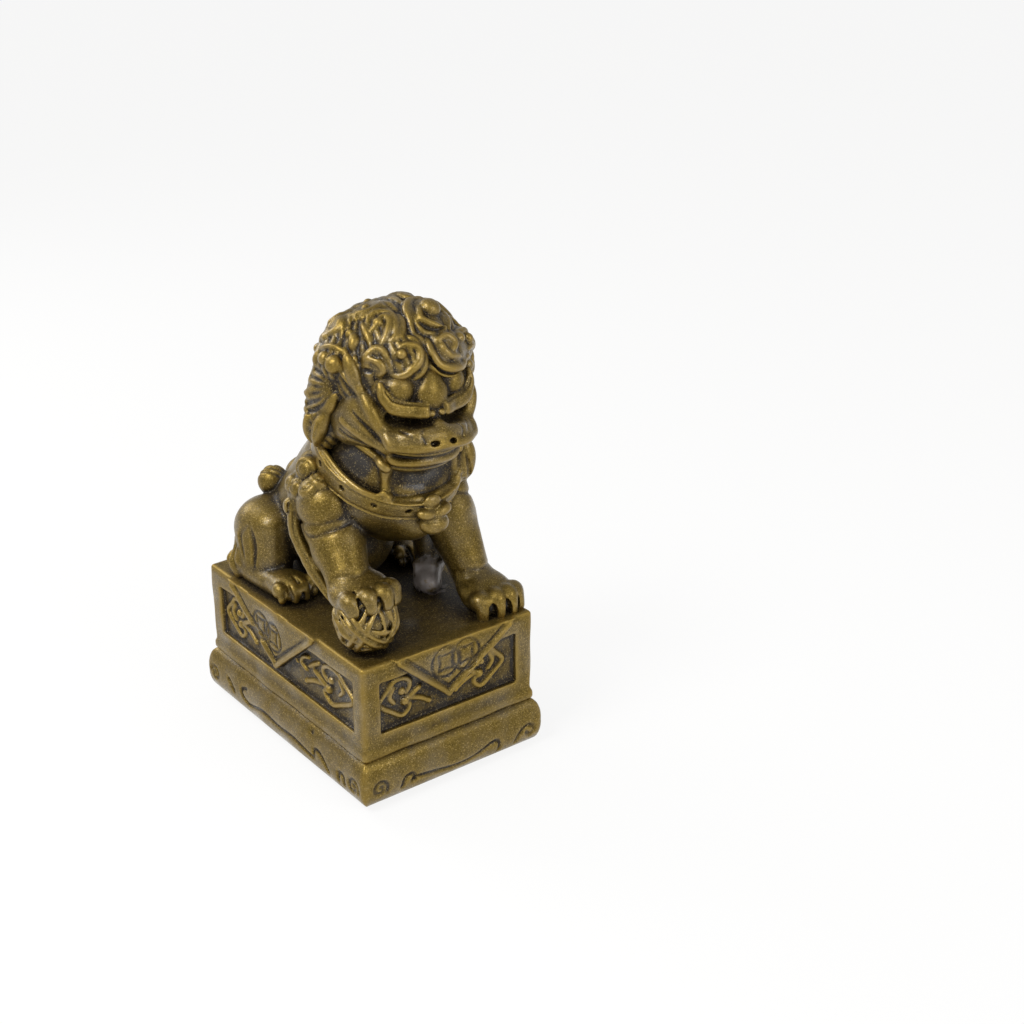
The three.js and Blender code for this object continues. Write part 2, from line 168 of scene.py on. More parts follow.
class Clay:
    """A block of clay between two corners, in millimetres, in cubes of that size."""

    def __init__(self, low, high, cube):
        self.low, self.cube = np.array(low, float), cube
        count = np.ceil((np.array(high, float) - self.low) / cube).astype(int) + 1
        self.field = np.full(count, FAR, np.float32)

    def copy(self):
        """The clay as it is now, kept to lay strokes on."""
        twin = Clay(self.low, self.low, self.cube)
        twin.field = self.field.copy()
        return twin

    def part(self, low, high):
        """The slices of the block inside a box, and the coordinates there."""
        size = np.array(self.field.shape)
        first = np.clip(np.floor((np.array(low) - self.low) / self.cube).astype(int), 0, size)
        last = np.clip(np.ceil((np.array(high) - self.low) / self.cube).astype(int) + 1, 0, size)
        lines = [
            (self.low[i] + self.cube * np.arange(first[i], last[i])).astype(np.float32)
            for i in range(3)
        ]
        return tuple(map(slice, first, last)), np.meshgrid(*lines, indexing="ij", sparse=True)

    def everywhere(self):
        """The coordinates of the whole block."""
        return self.part(self.low, self.low + self.cube * np.array(self.field.shape))[1]

    def press(self, form, blend=0.8, cut=False):
        """Adds a form to the clay, or cuts it away."""
        low, high, distance = form
        reach = max(blend, 1.0) + 1.5
        place, (x, y, z) = self.part(np.array(low) - reach, np.array(high) + reach)
        here = self.field[place]
        if not here.size:
            return
        there = distance(x, y, z)
        self.field[place] = -soft_min(-here, there, blend) if cut else soft_min(here, there, blend)

    def cut(self, form, blend=0.5):
        self.press(form, blend, cut=True)

    def stroke(self, points, radii, blend=0.5, cut=False):
        """A roll of clay laid along a path, or a groove scraped along it."""
        points = np.array(points, float)
        radii = np.broadcast_to(np.array(radii, float), len(points))
        reach = radii.max() + max(blend, 0.6) + 0.6
        place, _ = self.part(points.min(0) - reach, points.max(0) + reach)
        here = self.field[place]
        if not here.size:
            return
        roll = np.full(here.shape, FAR, np.float32)
        corner = np.array([s.start for s in place])
        for a, b, ra, rb in zip(points, points[1:], radii, radii[1:]):
            inner, (x, y, z) = self.part(np.minimum(a, b) - reach, np.maximum(a, b) + reach)
            inner = tuple(slice(s.start - c, s.stop - c) for s, c in zip(inner, corner))
            if roll[inner].size:
                roll[inner] = np.minimum(roll[inner], rod(a, b, ra, rb, x, y, z))
        self.field[place] = -soft_min(-here, roll, blend) if cut else soft_min(here, roll, blend)

    def reading(self, points):
        """The distance at any points, between the cubes."""
        spot = (np.array(points, float) - self.low) / self.cube
        spot = np.clip(spot, 0, np.array(self.field.shape) - 1.001)
        i = spot.astype(int)
        f = spot - i
        total = 0
        for dx in (0, 1):
            for dy in (0, 1):
                for dz in (0, 1):
                    share = (
                        (f[:, 0] if dx else 1 - f[:, 0])
                        * (f[:, 1] if dy else 1 - f[:, 1])
                        * (f[:, 2] if dz else 1 - f[:, 2])
                    )
                    total = total + share * self.field[i[:, 0] + dx, i[:, 1] + dy, i[:, 2] + dz]
        return total

    def outward(self, points):
        """The direction straight out of the clay at any points."""
        points = np.array(points, float)
        step = np.eye(3) * self.cube * 1.5
        slope = np.stack([self.reading(points + s) - self.reading(points - s) for s in step], 1)
        return slope / np.maximum(np.linalg.norm(slope, axis=1, keepdims=True), 1e-6)

    def settle(self, points, proud=0.0):
        """Points moved straight in or out until they lie on the surface, or that far above it."""
        points = np.array(points, float)
        for _ in range(8):
            points = points + self.outward(points) * (proud - self.reading(points))[:, None] * 0.8
        return points


def rod(a, b, ra, rb, x, y, z):
    """Distance to a rod with round ends, thicker at one end."""
    d = b - a
    t = ((x - a[0]) * d[0] + (y - a[1]) * d[1] + (z - a[2]) * d[2]) / max(float(d @ d), 1e-9)
    t = np.clip(t, 0, 1)
    gap = (x - a[0] - t * d[0]) ** 2 + (y - a[1] - t * d[1]) ** 2 + (z - a[2] - t * d[2]) ** 2
    return np.sqrt(gap) - (ra + t * (rb - ra))


def axes_of(out, up=(0, 0, 1)):
    """Three directions for a form: sideways, upward and out of the surface."""
    out = np.array(out, float) / np.linalg.norm(out)
    side = np.cross(np.array(up, float), out)
    if np.linalg.norm(side) < 0.05:
        side = np.cross((0.0, 1.0, 0.0), out)
    side = side / np.linalg.norm(side)
    return np.array([side, np.cross(out, side), out])


def turned(x_turn=0.0, y_turn=0.0, z_turn=0.0):
    """Directions turned by degrees about X, then Y, then Z."""
    a, b, c = map(math.radians, (x_turn, y_turn, z_turn))
    m = Matrix.Rotation(a, 3, "X") @ Matrix.Rotation(b, 3, "Y") @ Matrix.Rotation(c, 3, "Z")
    return np.array(m.transposed())


def local(centre, axes, x, y, z):
    """Coordinates along a form's own directions, from its centre."""
    x, y, z = x - centre[0], y - centre[1], z - centre[2]
    return [row[0] * x + row[1] * y + row[2] * z for row in axes]


def lump(centre, half, axes=np.eye(3)):
    """An egg-shaped lump with those half sizes along its own directions."""
    half = np.array(half, float)
    span = np.sqrt(((np.array(axes) * half[:, None]) ** 2).sum(0))

    def distance(x, y, z):
        u = [v / h for v, h in zip(local(centre, axes, x, y, z), half)]
        k = np.sqrt(u[0] ** 2 + u[1] ** 2 + u[2] ** 2 + 1e-4)
        g = np.sqrt(sum((v / h) ** 2 for v, h in zip(u, half)) + 1e-4 / half.max() ** 2)
        return k * (k - 1) / g

    return np.array(centre) - span, np.array(centre) + span, distance


def limb(a, b, ra, rb):
    """A limb between two points, with its radius at each."""
    a, b = np.array(a, float), np.array(b, float)
    low = np.minimum(a - ra, b - rb)
    high = np.maximum(a + ra, b + rb)
    return low, high, lambda x, y, z: rod(a, b, ra, rb, x, y, z)


def block(centre, half, round_off, axes=np.eye(3)):
    """A box with rounded edges."""
    half = np.array(half, float)
    span = (np.abs(np.array(axes)) * half[:, None]).sum(0)

    def distance(x, y, z):
        q = [np.abs(v) - (h - round_off) for v, h in zip(local(centre, axes, x, y, z), half)]
        outer = np.sqrt(sum(np.maximum(v, 0) ** 2 for v in q))
        inner = np.minimum(np.maximum(np.maximum(q[0], q[1]), q[2]), 0)
        return outer + inner - round_off

    return np.array(centre) - span, np.array(centre) + span, distance


def smooth_path(points, steps=6):
    """A smooth path through a few points."""
    p = np.array(points, float)
    q = np.vstack([2 * p[0] - p[1], p, 2 * p[-1] - p[-2]])
    t = np.linspace(0, 1, steps, endpoint=False)[:, None]
    spans = []
    for a, b, c, d in zip(q, q[1:], q[2:], q[3:]):
        bend = (2 * a - 5 * b + 4 * c - d) * t**2 + (3 * b - a - 3 * c + d) * t**3
        spans.append(0.5 * (2 * b + (c - a) * t + bend))
    return np.vstack(spans + [p[-1:]])


def swell(count, ends, middle):
    """Radii that start and end thin."""
    t = np.linspace(0, math.pi, count)
    return ends + (middle - ends) * np.sin(t) ** 0.7


# %% [markdown]
# A snail-shell lock is a roll of hair wound on itself: a low dome whose surface rises and falls
# along a spiral, with a round boss in the middle. It could be a real spiral roll of clay, which
# takes dozens of strokes for each lock; measured in its own polar coordinates it is one form.

# %% The rolled lock
def rolled_lock(centre, out, radius, height, pitch=1.7, depth=0.5, start=0.0, hand=1):
    """A dome with a spiral groove. start turns the spiral in degrees and hand is 1 or -1."""
    axes = axes_of(out)
    centre = np.array(centre, float)
    reach = np.full(3, radius + 0.5)
    boss_radius = 0.3 * radius

    def distance(x, y, z):
        u, v, w = local(centre, axes, x, y, z)
        r = np.sqrt(u * u + v * v)
        angle = np.arctan2(v, u) * hand + math.radians(start)
        arm = r / pitch - angle / (2 * math.pi)
        arm = arm - np.round(arm)
        ridge = np.sqrt(np.maximum(1 - (1.94 * arm) ** 2, 0))
        ridge = np.where(r < boss_radius, 1.0, ridge)
        k = np.sqrt((r / radius) ** 2 + (w / height) ** 2 + 1e-4)
        g = np.sqrt((r / radius**2) ** 2 + (w / height**2) ** 2 + 1e-4 / radius**2)
        return np.clip(k * (k - 1) / g, -FAR, FAR) + depth * (0.62 - ridge)

    return centre - reach, centre + reach, distance


def blurred(field, cubes):
    """A field averaged over a cube of cells, by running sums."""
    for axis in range(3):
        pad = [(0, 0)] * 3
        pad[axis] = (cubes + 1, cubes)
        sums = np.cumsum(np.pad(field, pad, mode="edge"), axis=axis, dtype=np.float32)
        width = 2 * cubes + 1
        first = [slice(None)] * 3
        last = [slice(None)] * 3
        first[axis], last[axis] = slice(0, -width), slice(width, None)
        field = (sums[tuple(last)] - sums[tuple(first)]) / width
    return field


# %% [markdown]
# Casting turns the clay into a mesh, of small quads or, where a fineness is given, of triangles
# that are larger on the flat. While the clay is still there, each point also learns how creased
# its neighbourhood is, over about a millimetre: that is where wax stays when a caster wipes the
# paint back, so the finish can follow it.

# %% Casting the clay
HEAD_LEAN, LEAN_HEIGHT = math.radians(4), 45.0


def leaned(points):
    """Points of the upright head, leaned to one side about the top of the neck."""
    c, s = math.cos(HEAD_LEAN), math.sin(HEAD_LEAN)
    x, y, z = points[:, 0], points[:, 1], points[:, 2] - LEAN_HEIGHT
    return np.stack([x * c + z * s, y, LEAN_HEIGHT - x * s + z * c], 1)


def store(mesh, label, values):
    """Keeps a number on every point of a mesh, for its material to read."""
    data = mesh.attributes.new(label, "FLOAT", "POINT").data
    data.foreach_set("value", np.clip(values, -1.5, 1.5).astype(np.float32))


castings = []


def cast(clay, name, replaces, lift=0.0, fineness=0.0, lean=False):
    """The clay as a mesh object in metres, with its hollows stored on its points."""
    grid = openvdb.FloatGrid(background=1.0)
    values = np.clip(clay.field / clay.cube, -1, 1).astype(np.float32)
    grid.copyFromArray(values, tolerance=0)
    if fineness:
        points, triangles, quads = grid.convertToPolygons(isovalue=0.0, adaptivity=fineness)
        faces = [list(map(int, f[::-1])) for f in triangles] + [list(map(int, f[::-1])) for f in quads]
    else:
        points, quads = grid.convertToQuads(isovalue=0.0)
        faces = quads
    places = points.astype(float) * clay.cube + clay.low
    mesh = bpy.data.meshes.new(name)
    shifted = (leaned(places) if lean else places) + (0, 0, lift)
    shifted = shifted * MM
    mesh.from_pydata(shifted, [], faces) if fineness else fill_quads(mesh, shifted, quads)
    mesh.validate()
    mesh.polygons.foreach_set("use_smooth", np.ones(len(mesh.polygons), bool))
    near = clay.copy()
    near.field = blurred(np.clip(clay.field, -0.9, 0.9), max(1, round(0.8 / clay.cube)))
    store(mesh, "crease", -near.reading(places) / 0.28)
    made = bpy.data.objects.new(name, mesh)
    bpy.context.scene.collection.objects.link(made)
    made.data.materials.append(bronze)
    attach(made, "root")
    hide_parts(*replaces)
    castings.append((mesh, clay, lift, lean))
    triangle_count = sum(len(p.vertices) - 2 for p in mesh.polygons)
    print(f"{name}: {triangle_count} triangles")


def fill_quads(mesh, points, quads):
    """A mesh filled straight from arrays of points and quads."""
    mesh.vertices.add(len(points))
    mesh.vertices.foreach_set("co", points.astype(np.float32).ravel())
    mesh.loops.add(quads.size)
    mesh.loops.foreach_set("vertex_index", quads.astype(np.int32).ravel())
    mesh.polygons.add(len(quads))
    mesh.polygons.foreach_set("loop_start", np.arange(0, quads.size, 4, dtype=np.int32))
    mesh.update(calc_edges=True)


# %% [markdown]
# The finish is cold-cast resin under gold-bronze paint: metal powder in lacquer, so it shines
# like metal but grainily, each flake at its own angle, and the brightest flake cells are painted
# glints. Dark brown wax was brushed over and wiped off, and stays in the creases; the same dark
# brown is also laid as painted shade in deep recesses under and between parts and in a few
# puddles. A grey bloom of dust lies in the broad hollows; the worn ridges are brightest. Varnish
# was brushed on last.

# %% Antiqued bronze paint
bronze, tree, output = new_material("cold_cast_bronze_paint_antiqued")
place = add_node(tree, "TexCoord").outputs["Object"]
in_mm = add_node(tree, "VectorMath", {0: place, "Scale": 1 / MM}, operation="SCALE").outputs[0]


def pattern(kind, size, **inputs):
    """A pattern node whose features are that many millimetres across."""
    inputs = {key.replace("_", " "): value for key, value in inputs.items()}
    return add_node(tree, kind, {"Vector": in_mm, "Scale": 1 / size, **inputs})


def mixed(factor, first, second):
    """A blend of two colours by a factor. A Mix node's colours are its inputs 6 and 7."""
    return add_node(tree, "Mix", {0: factor, 6: first, 7: second}, data_type="RGBA").outputs[2]


def ranged(value, low, high, out_low=0.0, out_high=1.0):
    """A value stretched from one range to another and held at its ends."""
    inputs = {0: value, 1: low, 2: high, 3: out_low, 4: out_high}
    return add_node(tree, "MapRange", inputs).outputs[0]


def sum_of(*terms):
    """Weighted values added up: (value, weight) pairs."""
    total = 0.0
    for value, weight in terms:
        inputs = {0: value, 1: weight, 2: total}
        total = add_node(tree, "Math", inputs, operation="MULTIPLY_ADD").outputs[0]
    return total


# The stump behind the left foreleg and the plinth beside it, missed by the brush.
BARE_PLACE = (12.4, -10.4, 40.4)
DECK_HEIGHT = float(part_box("plinth_block")[1][2]) / MM
crease = add_node(tree, "Attribute", attribute_name="crease").outputs["Fac"]
hollow = add_node(tree, "Attribute", attribute_name="hollow").outputs["Fac"]
clouds = pattern("TexNoise", 9.0, Detail=3.0).outputs["Fac"]
smears = pattern("TexNoise", 2.2, Detail=4.0, Roughness=0.62).outputs["Fac"]
specks = pattern("TexNoise", 0.34, Detail=2.0, Roughness=0.7).outputs["Fac"]
flakes = pattern("TexVoronoi", 0.21).outputs["Color"]
glint = add_node(tree, "SeparateColor", {0: flakes}).outputs[0]

# depth, the solid within eight millimetres, darkens deep recesses under and between parts: painted shade.
depth = add_node(tree, "Attribute", attribute_name="depth").outputs["Fac"]
height = add_node(tree, "SeparateXYZ", {0: in_mm}).outputs[2]
over_deck = add_node(tree, "Math", {0: height, 1: DECK_HEIGHT}, operation="SUBTRACT").outputs[0]
on_deck = ranged(over_deck, 1.6, -0.4)
on_deck = add_node(tree, "Math", {0: on_deck, 1: ranged(height, DECK_HEIGHT - 2.2, DECK_HEIGHT - 0.4)},
                   operation="MULTIPLY").outputs[0]

# Puddles of dark wax and painted shade: under the belly, inside the left foreleg, throat panels, muzzle and
# toe gaps.
pooled_wax_and_shade = add_node(tree, "Attribute", attribute_name="pooled_wax_and_shade").outputs["Fac"]
on_head = ranged(height, 74.0, 92.0)
# The wax mix: dark wax in creases and hollows, plus painted shade from depth and from the wax and shade
# puddles.
wax_and_painted_shade = sum_of((crease, 1.15), (hollow, 0.7), (depth, 0.65), (smears, 0.9), (clouds, 0.5), (specks, 1.9),
             (on_deck, 0.3), (on_head, 0.16), (pooled_wax_and_shade, 0.7))
wax_and_painted_shade = ranged(wax_and_painted_shade, 1.38, 2.25)
dust = sum_of((hollow, 0.55), (clouds, 1.1), (smears, 0.6), (wax_and_painted_shade, -0.25))
dust = sum_of((ranged(dust, 0.95, 1.45, 0.0, 0.5), 1.0), (on_deck, -0.6))
dust = ranged(sum_of((dust, 1.0), (pooled_wax_and_shade, -0.4)), 0.0, 1.0)
worn = ranged(sum_of((crease, -0.8), (smears, 0.5)), 0.28, 0.95)

gold = mixed(ranged(specks, 0.36, 0.66), linear("#56461c"), linear("#826d33"))
# The brightest flake cells lighten the gold: painted glints.
gold = mixed(ranged(glint, 0.82, 1.0, 0.0, 0.45), gold, linear("#c29f4b"))
gold = mixed(worn, gold, linear("#987e3c"))
# Dark brown for the wax, and for the painted shade that the wax mix carries.
brown = mixed(ranged(wax_and_painted_shade, 0.5, 1.0), linear("#3d2f13"), linear("#21180b"))
colour = mixed(wax_and_painted_shade, gold, brown)
colour = mixed(dust, colour, linear("#52472d"))
bare = add_node(tree, "VectorMath", {0: in_mm, 1: BARE_PLACE}, operation="DISTANCE").outputs["Value"]
bare = ranged(sum_of((bare, 1.0), (smears, 5.0)), 7.6, 6.4)
# The brightest flake cells lighten wax and dust too: painted glints.
colour = mixed(ranged(glint, 0.85, 1.0, 0.0, 0.5), colour, linear("#a89463"))
colour = mixed(bare, colour, mixed(ranged(clouds, 0.3, 0.7), linear("#7d7470"), linear("#b3aca9")))
metal = ranged(sum_of((wax_and_painted_shade, -0.6), (dust, -0.8), (bare, -0.9)), -0.9, 0.0, 0.1, 0.88)
rough = ranged(sum_of((clouds, 0.6), (specks, 0.5), (wax_and_painted_shade, 0.1), (on_deck, 0.12)), 0.25, 0.85, 0.3, 0.55)

varnished = sum_of((clouds, 1.0), (on_deck, -0.2), (pooled_wax_and_shade, 0.3), (wax_and_painted_shade, -0.06))
varnished = ranged(varnished, 0.42, 0.66, 0.05, 0.8)
grain = sum_of((glint, 0.35), (specks, 0.75), (smears, 0.5))
relief = add_node(tree, "Bump", {"Height": grain, "Distance": 0.09 * MM, "Strength": 0.6})
varnish = add_node(tree, "Bump", {"Height": specks, "Distance": 0.09 * MM, "Strength": 0.7})
paint = add_node(tree, "BsdfPrincipled", {
    "Base Color": colour, "Metallic": metal, "Roughness": rough, "Normal": relief.outputs[0],
    "Specular IOR Level": 0.3,
    "Coat Weight": varnished, "Coat Roughness": 0.14, "Coat IOR": 1.5,
    "Coat Normal": varnish.outputs[0],
})
tree.links.new(paint.outputs[0], output.inputs["Surface"])
print("bronze paint:", len(tree.nodes), "nodes")


# %% [markdown]
# The underside is covered with a thin brown felt, so that the casting doesn't scratch a shelf. It
# is a flat sheet with a soft cut edge: an extruded outline with its edge bevelled is enough.

# %% Felt under the foot
def box_mm(node):
    """A CAD node's lowest and highest corners in millimetres."""
    return [np.array(corner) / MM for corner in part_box(node)]


def finished(form, name, material, slot, *nodes):
    """A bmesh as a piece of the statue, in place."""
    bmesh.ops.recalc_face_normals(form, faces=form.faces)
    mesh = bpy.data.meshes.new(name)
    form.to_mesh(mesh)
    form.free()
    mesh.materials.append(material)
    made = bpy.data.objects.new(name, mesh)
    bpy.context.scene.collection.objects.link(made)
    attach(made, "root")
    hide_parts(*nodes)
    print(f"{name}: {len(mesh.polygons)} faces")


def box_form(low, high, round_off, segments):
    """A box between two corners in mm, with every edge rounded."""
    form = bmesh.new()
    bmesh.ops.create_cube(form, size=1)
    low, high = Vector(low) * MM, Vector(high) * MM
    bmesh.ops.scale(form, vec=high - low, verts=form.verts)
    bmesh.ops.translate(form, vec=(low + high) / 2, verts=form.verts)
    bmesh.ops.bevel(form, geom=form.edges[:], offset=round_off * MM, offset_type="OFFSET",
                    segments=segments, profile=0.5, affect="EDGES", material=-1)
    return form


felt_cloth, tree, output = new_material("pressed_wool_felt_brown")
wool_place = add_node(tree, "VectorMath", {
    0: add_node(tree, "TexCoord").outputs["Object"], "Scale": 1 / MM}, operation="SCALE").outputs[0]
fibres = add_node(tree, "TexNoise", {"Vector": wool_place, "Scale": 2.2, "Detail": 5.0, "Roughness": 0.75})
wool = add_node(tree, "ValToRGB", {0: fibres.outputs["Fac"]})
wool.color_ramp.elements[0].color = linear("#1d1813")
wool.color_ramp.elements[1].color = linear("#4a4034")
nap = add_node(tree, "Bump", {"Height": fibres.outputs["Fac"], "Distance": 0.2 * MM, "Strength": 0.8})
felt_shader = add_node(tree, "BsdfPrincipled", {
    "Base Color": wool.outputs[0], "Roughness": 0.95, "Sheen Weight": 0.35, "Sheen Roughness": 0.5,
    "Normal": nap.outputs[0]})
tree.links.new(felt_shader.outputs[0], output.inputs["Surface"])

felt_low, felt_high = box_mm("base_felt")
finished(box_form(felt_low, felt_high, 0.15, 2), "felt_underlay", felt_cloth, "felt", "base_felt")


# %% [markdown]
# The foot of the plinth is a fat half-round moulding, mitred at the corners and scratched by hand
# before it was moulded: a spiral at each corner and a wave line with a hook at each end. The body
# could be a bevelled box, but the scratches have soft shoulders, so it is worked in clay.

# %% Foot moulding with its wave and corner spirals
FOOT_SIDE_ROUND = 3.6
FOOT_TOP_ROUND = 5.6
FOOT_CORNER_ROUND = 1.6


def moulding(centre, half, side_round, top_round, corner_round):
    """A slab whose sides are half-round, with tighter corners."""

    def distance(x, y, z):
        qx = np.abs(x - centre[0]) - (half[0] - corner_round)
        qy = np.abs(y - centre[1]) - (half[1] - corner_round)
        plan = np.sqrt(np.maximum(qx, 0) ** 2 + np.maximum(qy, 0) ** 2)
        plan = plan + np.minimum(np.maximum(qx, qy), 0) - corner_round
        u = (plan + side_round) / side_round
        w = (np.abs(z - centre[2]) - (half[2] - top_round)) / top_round
        bow = np.sqrt(np.maximum(u, 0) ** 2 + np.maximum(w, 0) ** 2) - 1
        bow = bow + np.minimum(np.maximum(u, w), 0)
        return bow * side_round

    return np.array(centre) - half, np.array(centre) + half, distance


def spiral(centre, radius, turns, start, hand=1, steps=30):
    """A flat spiral that winds in, as (across, up) points."""
    t = np.linspace(0, 1, steps)
    angle = math.radians(start) + hand * t * turns * 2 * math.pi
    r = radius * (1 - 0.78 * t)
    return np.stack([centre[0] + r * np.cos(angle), centre[1] + r * np.sin(angle)], 1)


def ring(centre, radius, steps=28):
    """A circle as (across, up) points."""
    angle = np.radians(np.linspace(0, 360, steps))
    return np.stack([centre[0] + radius * np.cos(angle), centre[1] + radius * np.sin(angle)], 1)


def on_side(side, path, out=0.0):
    """(across, up) points on one side of the block, that far out of it. Across runs along X or Y."""
    path = np.array(path, float)
    across, height = path[:, 0], path[:, 1]
    if side in ("front", "back"):
        sign = -1 if side == "front" else 1
        return np.stack([across * -sign, np.full_like(across, sign * (block_half[1] + out)), height], 1)
    sign = -1 if side == "right" else 1
    return np.stack([np.full_like(across, sign * (block_half[0] + out)), across, height], 1)


foot_low, foot_high = box_mm("plinth_foot")
block_low, block_high = box_mm("plinth_block")
block_half = block_high[:2]
deck = float(block_high[2])
foot_middle, foot_half = (foot_low + foot_high) / 2, (foot_high - foot_low) / 2

foot = Clay(foot_low - 1.2, foot_high + 1.2, 0.3)
foot.press(moulding(foot_middle, foot_half - 0.05, FOOT_SIDE_ROUND, FOOT_TOP_ROUND, FOOT_CORNER_ROUND))
SCRATCH = 0.55
front_scratches = [
    spiral((-21.9, 5.6), 2.3, 1.35, -35, 1),
    smooth_path([(-15.7, 3.8), (-14.9, 5.9), (-13.2, 6.5), (-12.1, 5.6), (-12.9, 4.6)]),
    smooth_path([(-12.4, 4.7), (-10.8, 5.0), (-5.3, 4.3), (-0.4, 3.5), (4.1, 3.7), (7.1, 4.5),
                 (10.2, 5.7), (12.2, 5.9), (13.2, 4.6), (13.1, 2.9)]),
    smooth_path([(18.2, 3.0), (19.3, 5.2), (22.0, 6.7), (24.0, 5.3), (22.6, 3.6), (21.5, 4.8)]),
]
side_scratches = [
    spiral((-33.2, 5.9), 2.3, 1.35, 200, -1),
    smooth_path([(-29.4, 4.6), (-28.9, 6.6), (-27.2, 6.8), (-26.9, 4.6)]),
    smooth_path([(-22.3, 4.3), (-20.4, 6.6), (-18.1, 7.9), (-16.0, 7.5), (-15.6, 5.2), (-12.9, 5.2),
                 (-6.2, 6.0), (0.7, 5.8), (8.6, 6.4), (15.1, 5.2), (18.4, 6.2), (19.3, 8.0), (17.2, 9.0)]),
    smooth_path([(23.4, 5.6), (24.9, 7.2), (26.2, 8.2)]),
    spiral((33.6, 6.4), 2.2, 1.3, 20, 1),
]
for side, scratches in (("front", front_scratches), ("back", front_scratches),
                        ("right", side_scratches), ("left", side_scratches)):
    for path in scratches:
        foot.stroke(foot.settle(on_side(side, path, 2.0)), SCRATCH, 0.25, cut=True)
scar = foot.settle(on_side("right", [(-13.2, 12.0), (-14.0, 11.6), (-14.6, 10.9)], 2.0))
foot.stroke(scar + (-0.35, 0, 0.2), (0.45, 0.75, 0.4), 0.5, cut=True)
cast(foot, "plinth_foot_moulding", ["plinth_foot"], fineness=0.03)


# %% [markdown]
# The block has a sunk panel on each side, and a cloth laid over the top whose corners hang down
# over the panels. On each cloth two coins are scratched, and beside it a curling leaf stands out
# of the panel as a thin ridge. Bevelled boxes would make the panels; the hanging corners and the
# ridges need to grow out of the block without a seam, so they are clay too.

# %% Plinth block with hanging cloths and leaves
PANEL_DEPTH = 1.35
PANEL_LOW, PANEL_HIGH = 18.8, 32.2
PANEL_INSET = {"front": 4.9, "side": 4.6}
CLOTH_PROUD = 0.75
LEAF_RIDGE = 0.62
COIN_LINE = 0.45


def cloth_corner(side, left, right, apex):
    """A hanging corner: a flat three-cornered slab on one side of the block."""
    corners = np.array([left, apex, right], float)

    def distance(x, y, z):
        if side in ("front", "back"):
            sign = -1 if side == "front" else 1
            across, out = x * -sign, y * sign - block_half[1]
        else:
            sign = -1 if side == "right" else 1
            across, out = y, x * sign - block_half[0]
        gap = z - (deck + 0.05)
        for a, b in zip(corners, corners[1:]):
            edge = (b - a) / np.linalg.norm(b - a)
            gap = np.maximum(gap, (across - a[0]) * edge[1] - (z - a[1]) * edge[0])
        return np.maximum(gap, np.abs(out + 1.5) - 1.5 - CLOTH_PROUD)

    spots = on_side(side, corners, CLOTH_PROUD)
    inner = on_side(side, corners, -3.0)
    return np.minimum(spots.min(0), inner.min(0)), np.maximum(spots.max(0), inner.max(0)), distance


plinth = Clay(block_low - (1.6, 1.6, 2.4), block_high + (1.6, 1.6, 0.9), 0.3)
block_middle = (block_low + block_high) / 2
block_middle[2] -= 1.0
block_size = (block_high - block_low) / 2
block_size[2] += 1.0
plinth.press(block(block_middle, block_size, 0.9))
step_low, step_high = box_mm("plinth_step")
step_middle, step_half = (step_low + step_high) / 2, (step_high - step_low) / 2
plinth.press(block(step_middle, step_half - (0.5, 0.5, 0), 0.5), 1.6)
for side, axis in (("front", 1), ("back", 1), ("right", 0), ("left", 0)):
    sign = -1 if side in ("front", "right") else 1
    middle = np.array([0, 0, (PANEL_LOW + PANEL_HIGH) / 2])
    middle[axis] = sign * (block_half[axis] + 3 - PANEL_DEPTH)
    half = np.array([0, 0, (PANEL_HIGH - PANEL_LOW) / 2])
    half[axis] = 3
    half[1 - axis] = block_half[1 - axis] - PANEL_INSET["front" if axis == 1 else "side"]
    plinth.cut(block(middle, half, 0.6), 0.5)

front_cloth = [(-16.2, deck), (19.0, deck), (-0.8, 22.4)]
side_cloth = [(-16.6, deck), (25.0, deck), (2.8, 20.8)]


def leaf(flip, at, wide):
    """A curling leaf as ridges and berries, in (across, up) points about the block's middle."""
    paths = [
        [(-12.2, 26.9), (-11.2, 28.0), (-11.0, 29.6), (-12.6, 30.9), (-15.3, 30.9), (-17.2, 28.9),
         (-19.5, 26.4), (-18.6, 24.8), (-16.2, 23.0), (-13.4, 21.1), (-11.6, 21.9), (-11.0, 23.4),
         (-12.2, 24.2)],
        [(-12.4, 24.9), (-10.6, 25.9), (-9.2, 26.6), (-8.2, 27.0)],
        [(-11.4, 25.2), (-9.4, 24.6), (-7.6, 23.8), (-5.6, 22.4)],
        [(-15.6, 29.0), (-16.6, 27.0), (-15.4, 25.0)],
    ]
    berries = [(-13.3, 27.6, 0.95), (-12.5, 24.7, 1.15), (-5.6, 22.5, 0.7)]
    if wide > 1:
        paths += [
            [(-6.6, 29.4), (-5.0, 28.6), (-4.2, 26.8), (-5.6, 25.6)],
            [(-3.6, 29.6), (-2.4, 27.8), (-3.0, 26.0)],
            [(-9.6, 29.8), (-8.2, 28.6), (-6.8, 27.2)],
        ]
    paths = [[(at + flip * wide * (u + 12), v) for u, v in path] for path in paths]
    return paths, [(at + flip * wide * (u + 12), v, r) for u, v, r in berries]


